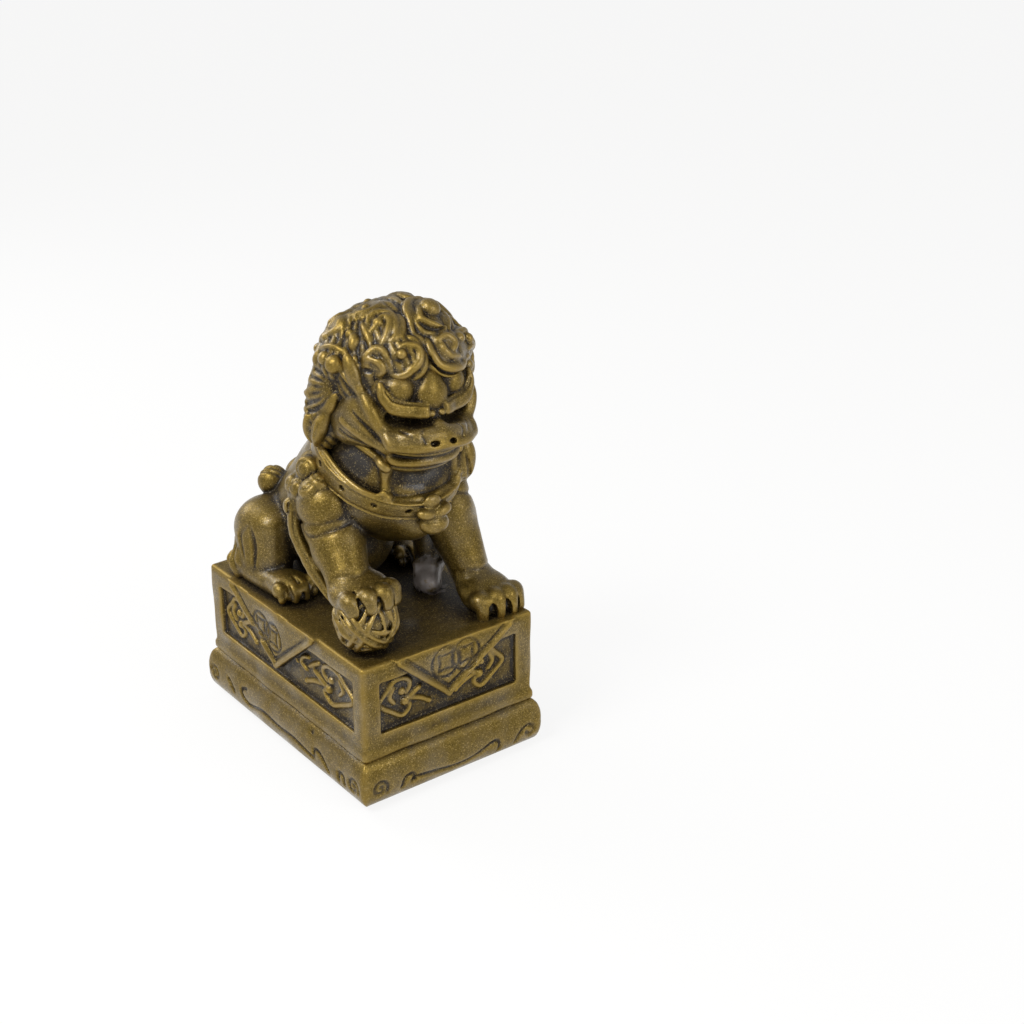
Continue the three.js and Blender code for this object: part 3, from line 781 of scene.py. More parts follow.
coins = {"front": ((-1.7, 32.0), (4.4, 32.2), 3.9), "side": ((3.1, 29.4), (9.2, 30.3), 3.7)}
for side in ("front", "back", "right", "left"):
    kind = "front" if side in ("front", "back") else "side"
    left, right, apex = front_cloth if kind == "front" else side_cloth
    leaves = ((1, -12.0, 1), (-1, 8.6, 1)) if kind == "front" else ((1, -18.8, 1.5), (-1, 21.6, 1))
    for flip, at, wide in leaves:
        paths, berries = leaf(flip, at, wide)
        for path in paths:
            spots = on_side(side, smooth_path(path, 5), -PANEL_DEPTH + 0.15)
            plinth.stroke(spots, swell(len(spots), 0.5, LEAF_RIDGE), 0.5)
        for u, v, r in berries:
            plinth.press(lump(on_side(side, [(u, v)], -PANEL_DEPTH + 0.1)[0], (r, r, r)), 0.3)
    plinth.press(cloth_corner(side, left, right, apex), 0.35)
    for start in (left, right):
        inward = 1 if start[0] < apex[0] else -1
        edge = np.array([(start[0] + 1.5 * inward, deck - 1.2), (apex[0], apex[1] + 1.1)])
        plinth.stroke(on_side(side, edge, CLOTH_PROUD - 0.1), 0.55, 0.5)
        edge = np.array([(start[0] + 3.6 * inward, deck - 0.9), (apex[0] + 0.2 * inward, apex[1] + 2.8)])
        plinth.stroke(on_side(side, edge, CLOTH_PROUD + 0.05), 0.5, 0.25, cut=True)
    first, second, size = coins[kind]
    for centre in (first, second):
        circle = ring(centre, size)
        plinth.stroke(on_side(side, circle, CLOTH_PROUD + 0.05), COIN_LINE, 0.2, cut=True)
        reach = size * 0.74
        tips = [(centre[0] + reach * c, centre[1] + reach * s)
                for c, s in ((-0.7, 0.75), (0.7, 0.75), (0.75, -0.7), (-0.65, -0.75))]
        for a, b in zip(tips, tips[1:] + tips[:1]):
            waist = [(a[0] + b[0]) / 2 * 0.82 + centre[0] * 0.18, (a[1] + b[1]) / 2 * 0.82 + centre[1] * 0.18]
            line = on_side(side, smooth_path([a, waist, b], 5), CLOTH_PROUD + 0.05)
            plinth.stroke(line, COIN_LINE * 0.9, 0.2, cut=True)

x, y, z = plinth.everywhere()
broad_wobble = 0.12 * np.sin(x / 5.1 + 1) * np.sin(y / 6.3) * np.cos(z / 4.7)
hand_wobble = broad_wobble + 0.07 * np.sin(x / 2.3 + y / 3.1 + z / 1.9)
plinth.field += hand_wobble.astype(np.float32)
cast(plinth, "plinth_block_with_cloths", [
    "plinth_step", "plinth_block", "cloth_front", "cloth_right", "cloth_back", "cloth_left",
    *[f"scroll_{side}_{end}" for side in ("front", "right", "back", "left") for end in "ab"],
], fineness=0.03)


# %% [markdown]
# The lion sits on its haunches with its forelegs straight, the right paw on a brocade ball. Its
# body is built up as a modeller would: a spine, chest and belly first, then shoulders and
# haunches, then legs and paws, and last the creases, toes and tufts. Joining primitives with a
# remesh would also close them up, but could not keep a sharp slot beside a soft muscle.

# %% Body, legs and haunches
body = Clay((-25.5, -37.5, -0.8), (25.5, 35.8, 46), 0.33)
body.press(limb((0, -3.6, 37.2), (0, 16.4, 14.8), 13.6, 14.4), 3)
body.press(lump((0, -10.2, 31.2), (17.2, 15.2, 10.7)), 3)
body.press(limb((0, 8, 12), (0, 22, 7), 12, 9), 3)
for s in (-1, 1):
    body.press(lump((14.0 * s, 21.6, 12.6), (8.5, 8.6, 8.3)), 2.0)
    body.press(limb((16.0 * s, 21.8, 13.4), (16.3 * s, 20.4, 3), 6.9, 6.3), 1.4)
    body.press(limb((16.2 * s, 16.8, 14.8), (16.6 * s, 16.0, 3.5), 4.8, 4.4), 2.0)
    body.press(lump((15.0 * s, -4.0, 30), (6.4, 8.4, 8)), 2.0)
right_leg = ((-15.2, -11.6, 24.5), (-17.4, -19.8, 16.6))
left_leg = ((15.0, -11.8, 25.0), (17.4, -19.8, 8.0))
body.press(limb(*right_leg, 7.2, 5.3), 0.9)
body.press(limb(*left_leg, 7.2, 5.0), 0.9)
body.press(lump((-16.8, -14.2, 20.6), (5.5, 5.2, 7.0), turned(28)), 1.2)
body.press(lump((16.8, -14.2, 18.8), (5.4, 5.0, 8.0), turned(26)), 1.2)
body.press(limb((0, -20.5, 27.6), (0, -12, 25.4), 6.8, 7.8), 2.5)
body.press(block((12.4, -9.2, 3.0), (2.4, 3.6, 4.2), 1.8, turned(-14, 10, 30)), 1.0)
body.press(lump((11.2, -11.0, 2.0), (2.6, 3.4, 2.8)), 1.2)
body.press(lump((15.6, -6.0, 9.0), (3.6, 5.6, 9.0)), 1.5)
for s in (-1, 1):
    under = np.array([(22.6, -5.6, 25.4), (21.8, -11.4, 24.2), (18.6, -16.0, 25.6), (14.4, -18.6, 28.4)])
    under = body.settle(smooth_path(under * (s, 1, 1), 7))
    body.stroke(under, swell(len(under), 0.2, 0.42), 0.8, cut=True)
    body.press(lump((16.2 * s, -10.0, 30.4), (6.9, 7.0, 6.4)), 0.25)
print("body clay:", body.field.shape)


# %% [markdown]
# Each hind foot lies flat beside the haunch with four round toes, and behind it the heel has two
# flame-shaped tufts and a long leaf-shaped slot pressed into the thigh.

# %% Hind feet, tufts and thigh slots
HIND_TOE_GAPS = (-2.9, 0.0, 2.9)
TUFTS = [
    ((21.4, 24.4, 1.4), (22.0, 26.2, 5.6), 2.1), ((20.2, 28.2, 1.2), (20.8, 29.6, 4.2), 1.9),
    ((18.8, 25.4, 2.6), (20.6, 26.6, 9.4), 2.1), ((20.4, 22.4, 2.4), (22.2, 23.4, 7.4), 1.8),
    ((15.6, 27.8, 2.4), (16.4, 29.6, 10.8), 2.1), ((12.0, 29.0, 2.2), (12.6, 30.8, 8.6), 1.9),
]
for s in (-1, 1):
    body.press(limb((20.6 * s, 20.5, 2.3), (19.0 * s, 10.5, 2.3), 2.5, 3.3), 0.6)
    body.press(lump((17.8 * s, 7.0, 2.9), (5.2, 6.6, 3.5)), 1.0)
    for across, ahead, size in ((-4.3, 1.6, 1.7), (-1.5, 0.3, 1.95), (1.5, 0.3, 1.95), (4.3, 1.8, 1.75)):
        at = (17.6 + across) * s
        body.press(lump((at, 3.0 + ahead, 3.5), (size, 2.2, 2.1)), 0.5)
        body.press(lump((at, 1.5 + ahead, 1.7), (1.15, 1.0, 1.3)), 0.3)
    for at in HIND_TOE_GAPS:
        x0 = (17.6 + at) * s
        gap = [(x0, 0.9, 0.6), (x0, 1.2, 2.8), (x0, 3.2, 5.4), (x0, 6.0, 6.8)]
        body.stroke(gap, (0.75, 0.75, 0.5, 0.3), 0.3, cut=True)
    for path, ends, middle in (([(23.4, 17.2, 16.2), (24.0, 15.8, 12), (23.4, 16.4, 5.6)], 0.35, 0.8),
                               ([(23.4, 18.4, 16.6), (23.8, 21.2, 12.4), (23.2, 20.2, 7.0)], 0.3, 0.6)):
        slot = body.settle(smooth_path(np.array(path) * (s, 1, 1), 8), 0.1)
        body.stroke(slot, swell(len(slot), ends, middle), 0.3, cut=True)
    for root, tip, size in TUFTS:
        bend = ((root[0] + tip[0]) / 2 + 0.9, (root[1] + tip[1]) / 2 + 0.6, (root[2] + tip[2]) / 2)
        tuft = smooth_path([(p[0] * s, p[1], p[2]) for p in (root, bend, tip)], 7)
        body.stroke(tuft, np.linspace(size, 0.9, len(tuft)), 1.3)
        groove = body.settle(tuft + (0.8 * s, 0.7, 0), 0.1)
        body.stroke(groove, swell(len(groove), 0.15, 0.4), 0.2, cut=True)


# %% [markdown]
# The right forepaw grips the top of the ball and the left one stands on the plinth. Toes are
# short rolls bent over the edge, each ending in a claw, with deep gaps between them, coloured
# almost black later by wax and painted shade. A serrated fringe of hair runs down the back of
# each foreleg.

# %% Forepaws, toes and elbow fringes
body.press(lump((-16.9, -24.4, 13.4), (7.8, 6.6, 4.3), turned(16)), 1.8)
body.press(lump((17.9, -25.0, 4.0), (6.6, 7.2, 3.9), turned(14)), 1.8)
body.press(block((17.9, -28.6, 2.9), (6.4, 5.0, 3.0), 2.5), 1.4)


def toes(knuckles, size, claw, thick):
    """Round knuckles, each with a short claw that runs forward and down by that much."""
    for x0, y0, z0 in knuckles:
        body.press(lump((x0, y0, z0), (size, size * 1.15, size)), 0.8)
        end = (x0 + 0.2, y0 + claw[0], z0 + claw[1])
        tip = smooth_path([(x0, y0 - 1.0, z0 - 0.6), (x0, y0 - 1.5, z0 - 1.7), end], 4)
        body.stroke(tip, np.linspace(thick[0], thick[1], len(tip)), 0.5)


def toe_gaps(gaps, deep):
    """Arched slots between the toes: a groove over the top of the paw that widens as it comes down."""
    for x0, y0, z0, wide in gaps:
        gap = smooth_path([(x0, y0 + 3.8, z0 + 1.7), (x0, y0 + 1.2, z0 + 0.7), (x0, y0 + 0.1, z0 - 1.0),
                           (x0, y0, z0 - deep)], 5)
        radii = np.interp(np.linspace(0, 1, len(gap)), (0, 0.35, 0.6, 1), (0.25, 0.6, wide, wide))
        body.stroke(gap, radii, 0.35, cut=True)


body.press(block((-16.9, -28.8, 12.4), (6.0, 3.4, 2.4), 2.2), 1.2)
toes([(-22.4, -28.2, 13.8), (-18.8, -30.2, 14.6), (-14.8, -30.4, 14.6), (-11.4, -28.4, 14.2)],
     2.5, (-1.3, -2.2), (2.0, 1.7))
TOE_GAPS_RIGHT = [(-20.8, -31.4, 13.8, 0.85), (-16.9, -32.6, 14.2, 1.0), (-13.0, -31.4, 14.0, 0.8)]
toe_gaps(TOE_GAPS_RIGHT, 3.0)
toes([(12.6, -30.4, 4.0), (16.7, -31.6, 4.4), (20.2, -31.6, 4.4), (23.0, -30.4, 4.2)],
     2.3, (-1.5, -3.7), (1.9, 1.6))
TOE_GAPS_LEFT = [(14.7, -33.0, 3.3, 1.2), (18.5, -33.8, 3.5, 1.15), (21.7, -33.2, 3.4, 0.9)]
toe_gaps(TOE_GAPS_LEFT, 3.4)
for s, ankle in ((-1, (-17.6, -22.6, 17.2)), (1, (17.6, -22.4, 8.4))):
    x0, y0, z0 = ankle
    fold = smooth_path([(x0 - 4.6, y0 + 1.0, z0), (x0, y0 - 3.2, z0 + 1.2), (x0 + 4.6, y0 + 1.0, z0)], 6)
    body.stroke(body.settle(fold, 0.25), 0.42, 0.5, cut=True)
    drop = 0 if s < 0 else -7.0
    path = smooth_path([(20.6 * s, -2.6, 27.4), (21.6 * s, -4.4, 22.6), (21.0 * s, -8.6, 16.6),
                        (20.2 * s, -12.6, 12.0 + drop * 0.5), (19.6 * s, -16.4, 8.6 + drop * 0.6)], 9)
    body.stroke(path, np.interp(np.linspace(0, 1, len(path)), (0, 0.12, 0.6, 1), (1.7, 1.6, 1.7, 0.7)), 0.6)
    body.press(lump((20.9 * s, -1.8, 28.0), (1.9, 1.9, 2.4)), 0.2)
    body.stroke([(21.9 * s, -2.6, 29.4), (22.4 * s, -3.0, 27.8), (22.0 * s, -2.4, 26.6)], 0.4, 0.2, cut=True)
    body.stroke(body.settle(path + (1.0 * s, -1.5, 0.2), 0.1), 0.42, 0.25, cut=True)
    for a, b in zip(path[2:-1:2], path[3::2]):
        nick = (a + b) / 2
        body.stroke([nick + (1.5 * s, 1.9, 0.8), nick + (1.3 * s, 0.3, -0.5)], (0.42, 0.2), 0.2, cut=True)


# %% [markdown]
# The tail is curled up against the back: a thick root with a knob on top and two curls beside it,
# all scored with deep curved lines. Behind the shoulders the spine shows as a soft ridge.

# %% Tail and back
body.press(limb((0, 29.4, 4), (0, 29.8, 19), 3.8, 4.5), 1.0)
body.press(lump((0, 27.4, 21.6), (5.2, 4.3, 5.0)), 0.8)
for s in (-1, 1):
    body.press(lump((9.8 * s, 26.2, 22.6), (3.9, 3.7, 3.9)), 0.5)
    body.press(limb((9.6 * s, 26.0, 19.6), (6.0 * s, 27.0, 14), 2.6, 3.0), 0.8)
    for shift in (-2.2, -0.4, 1.6):
        line = smooth_path([(9.8 * s + shift + 2.2, 23.4, 24.8), (9.8 * s + shift, 25.6, 26.6),
                            (9.8 * s + shift - 1.4, 29.6, 24.2), (9.8 * s + shift - 1.0, 30.4, 20.4)], 6)
        body.stroke(body.settle(line, 0.15), 0.6, 0.3, cut=True)
for shift in (-3.0, -1.0, 1.0, 3.0):
    line = smooth_path([
        (shift * 0.5, 31.8, 5), (shift, 34.4, 14), (shift * 1.2, 32.6, 23), (shift * 0.5, 29.0, 30)], 8)
    body.stroke(body.settle(line, 0.15), swell(len(line), 0.2, 0.5), 0.25, cut=True)
spine = body.settle(smooth_path([(0, 8, 42), (0, 16, 34), (0, 22, 28)], 6), -0.6)
body.stroke(spine, swell(len(spine), 0.6, 1.6), 2.0)


# %% [markdown]
# A cluster of small snail curls spills from the mane onto each shoulder, above the smooth round
# muscle.

# %% Shoulder curls, then the body is cast
SHOULDER_CURLS = [
    ((17.8, -5.6, 38.0), 3.2, 30), ((20.4, -9.8, 35.6), 2.9, 160), ((21.0, -5.2, 34.0), 2.8, 260),
    ((17.4, -11.4, 38.0), 2.6, 80), ((21.4, -1.2, 34.6), 2.4, 10),
]
for s in (-1, 1):
    body.press(lump((14.6 * s, -4.2, 37.4), (4.4, 5.2, 4.4)), 1.5)
    for place, radius, start in SHOULDER_CURLS:
        at = body.settle([(place[0] * s, place[1], place[2])], 0.0)[0]
        out = body.outward([at])[0]
        body.press(rolled_lock(at - out * 0.5, out, radius, 1.9, 1.5, 0.42, start, s), 0.35)
x, y, z = body.everywhere()
broad_wobble = 0.1 * np.sin(x / 4.1 + 1) * np.sin(y / 3.9) * np.cos(z / 4.3)
hand_wobble = broad_wobble + 0.05 * np.sin(x / 1.7 + y / 2.1 - z / 1.6)
body.field += hand_wobble.astype(np.float32)
SIDES = ("right", "left")
cast(body, "lion_body", ["torso", "chest", "tail"] + [
    f"{part}_{side}" for side in SIDES for part in (
        "shoulder", "shoulder_curls", "elbow_tuft", "hock_tuft", "hind_paw", "tail_curl", "haunch",
        "forepaw", "foreleg")], lift=deck, fineness=0.02)


# %% [markdown]
# The ball under the right paw is a ball of brocade ribbon, woven over and under. Rings of ribbon
# in two directions are laid over a sphere, each with a raised edge on both sides.

# %% Brocade ball
BALL_CENTRE, BALL_RADIUS = np.array((-17.2, -26.8, 7.5)), 7.6
ball = Clay(BALL_CENTRE - 8.8, BALL_CENTRE + 8.8, 0.27)
ball.press(lump(BALL_CENTRE, (BALL_RADIUS - 1.0,) * 3), 0.2)


def ribbon(axis, width, proud):
    """A flat band round the ball with two raised edges and a groove down its middle."""
    axis = np.array(axis, float) / np.linalg.norm(axis)

    def distance(x, y, z):
        u, v, w = x - BALL_CENTRE[0], y - BALL_CENTRE[1], z - BALL_CENTRE[2]
        across = np.abs(axis[0] * u + axis[1] * v + axis[2] * w)
        radial = np.sqrt(u * u + v * v + w * w) - (BALL_RADIUS - 0.5)
        edge = np.exp(-(((across - width * 0.7) / 0.45) ** 2)) * 0.22
        groove = np.exp(-((across / 0.4) ** 2)) * 0.35
        band = np.maximum(across - width, np.abs(radial) - (proud + edge - groove))
        return band.astype(np.float32)

    return BALL_CENTRE - BALL_RADIUS - 0.6, BALL_CENTRE + BALL_RADIUS + 0.6, distance


RIBBONS = [
    ((1, 0.3, 0.1), 2.0, 0.0), ((0.1, 1, 0.4), 1.9, 0.3), ((0.3, -0.3, 1), 1.8, 0.15),
    ((0.9, 0.8, -0.7), 1.6, 0.45), ((-0.8, 0.7, 0.5), 1.6, 0.6), ((0.6, -0.5, 0.8), 1.3, 0.7),
    ((-0.2, 0.6, -0.9), 1.4, 0.4),
]
for axis, width, proud in RIBBONS:
    ball.press(ribbon(axis, width, proud), 0.35)
x, y, z = ball.everywhere()
ball.field += (0.42 * np.sin(x / 1.5 + 2) * np.sin(y / 1.3 + 1) * np.cos(z / 1.7)).astype(np.float32)
cast(ball, "brocade_ball", ["brocade_ball"], lift=deck)


# %% [markdown]
# Round the neck goes a broad strap, drilled for studs, with a knot and a round bell in front.
# Above it the throat is divided by two raised ribs into smooth hollow panels, which kept the most
# varnish. The strap is a leaning ring with its own coordinates: round, outward and across.

# %% Throat, strap, knot and bell
STRAP_TILT = math.radians(27)
STRAP_HALF_WIDTH, STRAP_HALF_DEPTH = 16.6, 15.8 / math.cos(STRAP_TILT)
STRAP_CENTRE = np.array((0, -11.4, 30.2 + 15.8 * math.tan(STRAP_TILT)))
STRAP_AXES = np.array([(1, 0, 0), (0, -math.cos(STRAP_TILT), -math.sin(STRAP_TILT)),
                       (0, -math.sin(STRAP_TILT), math.cos(STRAP_TILT))])
STRAP_RISE, STRAP_BROAD, STRAP_THICK = 1.2, 2.6, 1.1


def strap_point(angle, across=0.0, out=STRAP_THICK):
    """A point on the strap: degrees from the front, mm across it and mm outward."""
    a, b = math.sin(math.radians(angle)), math.cos(math.radians(angle))
    ring_point = ((STRAP_HALF_WIDTH + out) * a, (STRAP_HALF_DEPTH + out) * b, STRAP_RISE + across)
    return STRAP_CENTRE + np.array(ring_point) @ STRAP_AXES


def strap():
    """The strap with a raised double line along each edge."""

    def distance(x, y, z):
        u, v, w = local(STRAP_CENTRE, STRAP_AXES, x, y, z)
        ring_size = np.sqrt((u / STRAP_HALF_WIDTH) ** 2 + (v / STRAP_HALF_DEPTH) ** 2)
        radial = (ring_size - 1) * np.sqrt(u * u + v * v) / np.maximum(ring_size, 0.05)
        across = np.abs(w - STRAP_RISE)
        lines = 0.42 * np.exp(-(((across - 1.95) / 0.28) ** 2)) - 0.12 * (across > 2.2)
        q0 = np.abs(radial) - (STRAP_THICK - lines - 0.35)
        q1 = across - (STRAP_BROAD - 0.35)
        outer = np.sqrt(np.maximum(q0, 0) ** 2 + np.maximum(q1, 0) ** 2)
        return outer + np.minimum(np.maximum(q0, q1), 0) - 0.35

    return np.array((-19, -31, 25)), np.array((19, 9, 51)), distance


throat = Clay((-21.5, -35, 21), (21.5, 9, 52), 0.3)
throat.press(lump((0, -12.4, 38.0), (15.2, 14.7, 13.2)), 2)
throat.press(limb((0, -16, 44), (0, -14.5, 33), 12.2, 12.6), 2.5)
throat.press(strap(), 0.5)
for s in (-1, 1):
    dish = throat.settle([(14.4 * s, -14.0, 44.6), (13.2 * s, -19.2, 42.4), (11.6 * s, -22.6, 40.6)], 3.5)
    throat.stroke(dish, (3.6, 4.5, 4.2), 0.8, cut=True)
    rib = [(10.6 * s, -27.0, 43.6), (9.8 * s, -26, 40), (9.4 * s, -25, 37.4), (9.6 * s, -25.5, 35)]
    rib = throat.settle(smooth_path(rib, 6), 0.3)
    throat.stroke(rib, np.interp(np.linspace(0, 1, len(rib)), (0, 0.5, 1), (1.7, 1.1, 1.4)), 0.8)
    rim = smooth_path([(16.0 * s, -9.7, 44.8), (16.0 * s, -16.2, 41.0), (14.5 * s, -21.6, 37.9),
                       (12.2 * s, -24.3, 36.4), (10.2 * s, -25.8, 36.6)], 6)
    throat.stroke(throat.settle(rim, 0.1), 0.7, 0.4)
    upper = smooth_path([
        (17.0 * s, -14, 50.0), (14.6 * s, -20, 47.8), (12.2 * s, -24, 45.4), (10.0 * s, -26.6, 43)], 6)
    throat.stroke(throat.settle(upper, 0.3), 1.0, 0.7)
rim = [(-8.2, -25.6, 34.4), (-4, -27.6, 33.8), (0, -28, 33.6), (4, -27.6, 33.8), (8.2, -25.6, 34.4)]
throat.stroke(throat.settle(smooth_path(rim, 6), 0.1), 0.8, 0.5)
dish = throat.settle([(-6.0, -26.6, 38.8), (0, -27.4, 38.2), (6.0, -26.6, 38.8)], 2.6)
throat.stroke(dish, 4.0, 0.9, cut=True)
throat.press(lump(strap_point(52, 5.2, 0.2), (2.8, 2.8, 5.4)), 1.2)
line = throat.settle([strap_point(46, 8.6, 0), strap_point(44, 5.0, 2), strap_point(47, 1.8, 2)], 0.1)
throat.stroke(line, (0.3, 0.6, 0.4), 0.3, cut=True)
for angle in (-150, -123, -97, -70.5, -44, -17.5, 31.5, 58, 84, 111, 138, 165):
    into, mouth = strap_point(angle, 0.4, -0.2), strap_point(angle, 0.4, 1.6)
    throat.stroke([into, mouth], (0.55, 0.8), 0.15, cut=True)
    throat.stroke([strap_point(angle, 0.4, 0.1)] * 2, 0.45, 0.1)
throat.press(lump((0.1, -29.7, 33.4), (2.2, 1.2, 1.7)), 0.6)
for s in (-1, 1):
    throat.press(lump((0.5 + 2.1 * s, -29.8, 30.6), (2.7, 1.8, 1.5), turned(0, -14 * s, 8)), 0.9)
throat.press(lump((0.8, -29.2, 27.5), (3.8, 2.7, 2.6), turned(8)), 0.5)
throat.stroke([(-3.0, -30.6, 29.3), (0.6, -31.9, 28.9), (4.4, -30.6, 29.3)], (0.3, 0.45, 0.3), 0.25, cut=True)
x, y, z = throat.everywhere()
throat.field += (0.1 * np.sin(x / 2.1 + 1) * np.sin(y / 2.4) * np.cos(z / 1.9)).astype(np.float32)
cast(throat, "throat_strap_and_bell",
     ["neck", "collar_band", "collar_knot", "collar_bell"], lift=deck)


# %% [markdown]
# The head is leaned a little to one side, about the top of the neck. It is modelled upright, so
# that both sides of the face can be made at once, and is leaned when it is cast.

# %% Head, muzzle and jaw
face = Clay((-19, -38.5, 36.5), (19, -3, 73), 0.28)
face.press(lump((0, -17.2, 56), (15.2, 12.3, 12.5)), 2)
face.press(lump((0, -26.6, 49.2), (12.0, 8.6, 4.9)), 2.2)
face.press(lump((0, -28.3, 50.6), (9.6, 6.0, 3.6)), 2.6)
for s in (-1, 1):
    face.press(lump((9.3 * s, -20.6, 53.6), (6.8, 7.2, 8.2)), 1.5)
    face.press(lump((13.6 * s, -20.2, 54.8), (2.6, 3.4, 3.4)), 1.5)
face.press(lump((0, -21.8, 43.9), (11.0, 9.6, 4.6)), 1.2)
for s in (-1, 1):
    face.press(lump((12.2 * s, -15.6, 51.6), (4.6, 6.2, 6.6)), 2.5)
face.press(lump((0, -24.4, 60.6), (12.6, 4.6, 4.8)), 1.5)
face.cut(limb((-8.8, -30.8, 54.6), (8.8, -30.8, 54.6), 1.8, 1.8), 2.6)
for s in (-1, 1):
    face.cut(lump((6.6 * s, -28.4, 54.4), (4.7, 3.2, 2.1)), 1.0)
    face.press(lump((6.0 * s, -25.4, 54.2), (2.0, 1.5, 1.2)), 0.15)
face.press(lump((0, -28.4, 54.0), (2.4, 3.0, 3.2)), 1.6)


def both(points):
    """The same path on both sides of the head."""
    points = np.array(points, float)
    return points * (-1, 1, 1), points


# %% [markdown]
# Above the muzzle three bulging brows hang over the dark eye hollows, with a curled lid strip
# under the outer two and a pair of beads between them. The lids are laid on a smooth copy of the
# brows, so that they cling to the face instead of bridging it.

# %% Brows, lids, beads and ears
face.press(lump((-0.1, -28.6, 58.7), (4.3, 3.1, 4.2)), 0.3)
face.press(lump((0, -29.0, 56.4), (3.4, 2.0, 1.3)), 0.6)
face.press(lump((0, -27.7, 62.0), (2.4, 2.4, 2.6)), 1.4)
for s in (-1, 1):
    face.press(lump((7.1 * s, -26.6, 60.3), (3.5, 2.9, 3.3), turned(0, -14 * s, 18 * s)), 0.5)
face.press(lump((13.0, -24.4, 62.6), (1.6, 1.6, 1.7)), 0.4)
brow_guide = face.copy()
brow_guide.field = blurred(brow_guide.field, 3)
for path in both([(12.2, -26.8, 61.2), (12.2, -27.4, 60.2), (11.5, -28.1, 58.8), (10.4, -28.8, 57.4),
                  (8.0, -29.8, 56.4), (5.4, -30.6, 55.9), (2.9, -31.2, 55.9)]):
    lid = smooth_path(path, 6)
    lid = (lid + brow_guide.settle(lid, 0.5)) / 2
    size = np.interp(np.linspace(0, 1, len(lid)), (0, 0.25, 0.6, 1), (0.9, 1.3, 1.4, 1.2))
    for drop in (0.8, 0, -0.8):
        face.stroke(lid + (0, 0.3 * drop, drop), size * 0.8, 0.4)
    face.stroke(lid[10:] + (0, -0.5, 1.5), 0.34, 0.3, cut=True)
for s in (-1, 1):
    face.press(lump((1.4 * s, -31.3, 55.2), (0.95, 0.95, 0.85)), 0.15)
    face.press(lump((15.2 * s, -20.2, 63.4), (1.7, 1.9, 4.6), turned(-22, 10 * s, 0)), 0.9)
face_guide = face.copy()


# %% [markdown]
# Lips and jaw are broad ridges with scraped lines between them: from the temple down to the
# corner of the muzzle and across its front.

# %% Lips, mouth and nostrils
for path in both([(14.6, -22.2, 60.2), (14.0, -25.4, 56.6), (12.7, -27.8, 52.4), (11.2, -30.2, 48.8)]):
    line = face_guide.settle(smooth_path(path, 7), 0.0)
    face.stroke(line, np.interp(np.linspace(0, 1, len(line)), (0, 0.4, 1), (0.9, 1.3, 1.3)), 1.3)


def across_face(half, steps, proud=0.0):
    """A path over the face, from its left half (outer end first) and the same half mirrored."""
    half = [tuple(point) for point in half]
    mirrored = [(-x0, y0, z0) for x0, y0, z0 in half]
    back = half[-2::-1] if half[-1][0] == 0 else half[::-1]
    return face_guide.settle(smooth_path(mirrored + back, steps), proud)


lip = across_face([(11.2, -30.2, 48.6), (8.4, -32.8, 48.4), (4.2, -34.8, 48.7), (0, -35.4, 49.0)], 8)
face.stroke(lip, 1.0, 1.2)
mouth = across_face([(15.3, -21.6, 55.2), (14.4, -25.0, 52.2), (12.6, -27.8, 48.6), (10.4, -29.8, 46.3),
                     (7.0, -32.0, 45.9), (0, -33.6, 46.1)], 8)
face.stroke(mouth, swell(len(mouth), 0.3, 1.0), 0.35, cut=True)
line = across_face([(7.6, -33.0, 47.2), (3.6, -34.6, 47.3)], 6, 0.2)
face.stroke(line, 0.4, 0.25, cut=True)
lower = across_face([(15.9, -18.4, 52.4), (14.8, -23.2, 49.8), (12.8, -26.2, 46.4), (10.2, -28.6, 43.9),
                     (6.4, -30.4, 43.8), (0, -31.6, 44.0)], 8)
face.stroke(lower, swell(len(lower), 0.6, 0.95), 0.8)
under = across_face([(15.0, -17.2, 50.0), (13.4, -22.8, 47.0), (10.6, -26.6, 42.6), (6.4, -29.4, 41.8),
                     (0, -30.4, 42.0)], 8, 0.1)
face.stroke(under, 0.5, 0.4, cut=True)
face.press(lump((0, -33.2, 50.7), (4.4, 2.2, 1.8)), 1.0)
face.press(lump((0, -31.4, 52.4), (1.8, 2.6, 1.6)), 1.0)
for s in (-1, 1):
    face.cut(lump((2.3 * s - 0.7, -35.4, 49.6), (1.15, 1.4, 0.65), turned(-20, 0, 12 * s)), 0.2)
    wing = smooth_path([(4.6 * s, -33.0, 52.6), (5.4 * s, -33.4, 51.2), (4.8 * s, -33.8, 49.8)], 5)
    face.stroke(face_guide.settle(wing, 0.2), 0.4, 0.3, cut=True)
    crow = smooth_path([(9.6 * s, -29.0, 54.8), (8.8 * s, -31.2, 52.4), (7.4 * s, -32.8, 50.8)], 5)
    face.stroke(face_guide.settle(crow, 0.2), 0.35, 0.5, cut=True)
x, y, z = face.everywhere()
face.field += (0.1 * np.sin(x / 2.3 + 1) * np.sin(y / 2.6) * np.cos(z / 2.1)).astype(np.float32)
cast(face, "lion_face", ["brow_centre", "nose", "muzzle", "lower_jaw", "head"] + [
    f"{part}_{side}" for side in SIDES for part in ("eyelid", "brow", "ear")], lift=deck, lean=True)
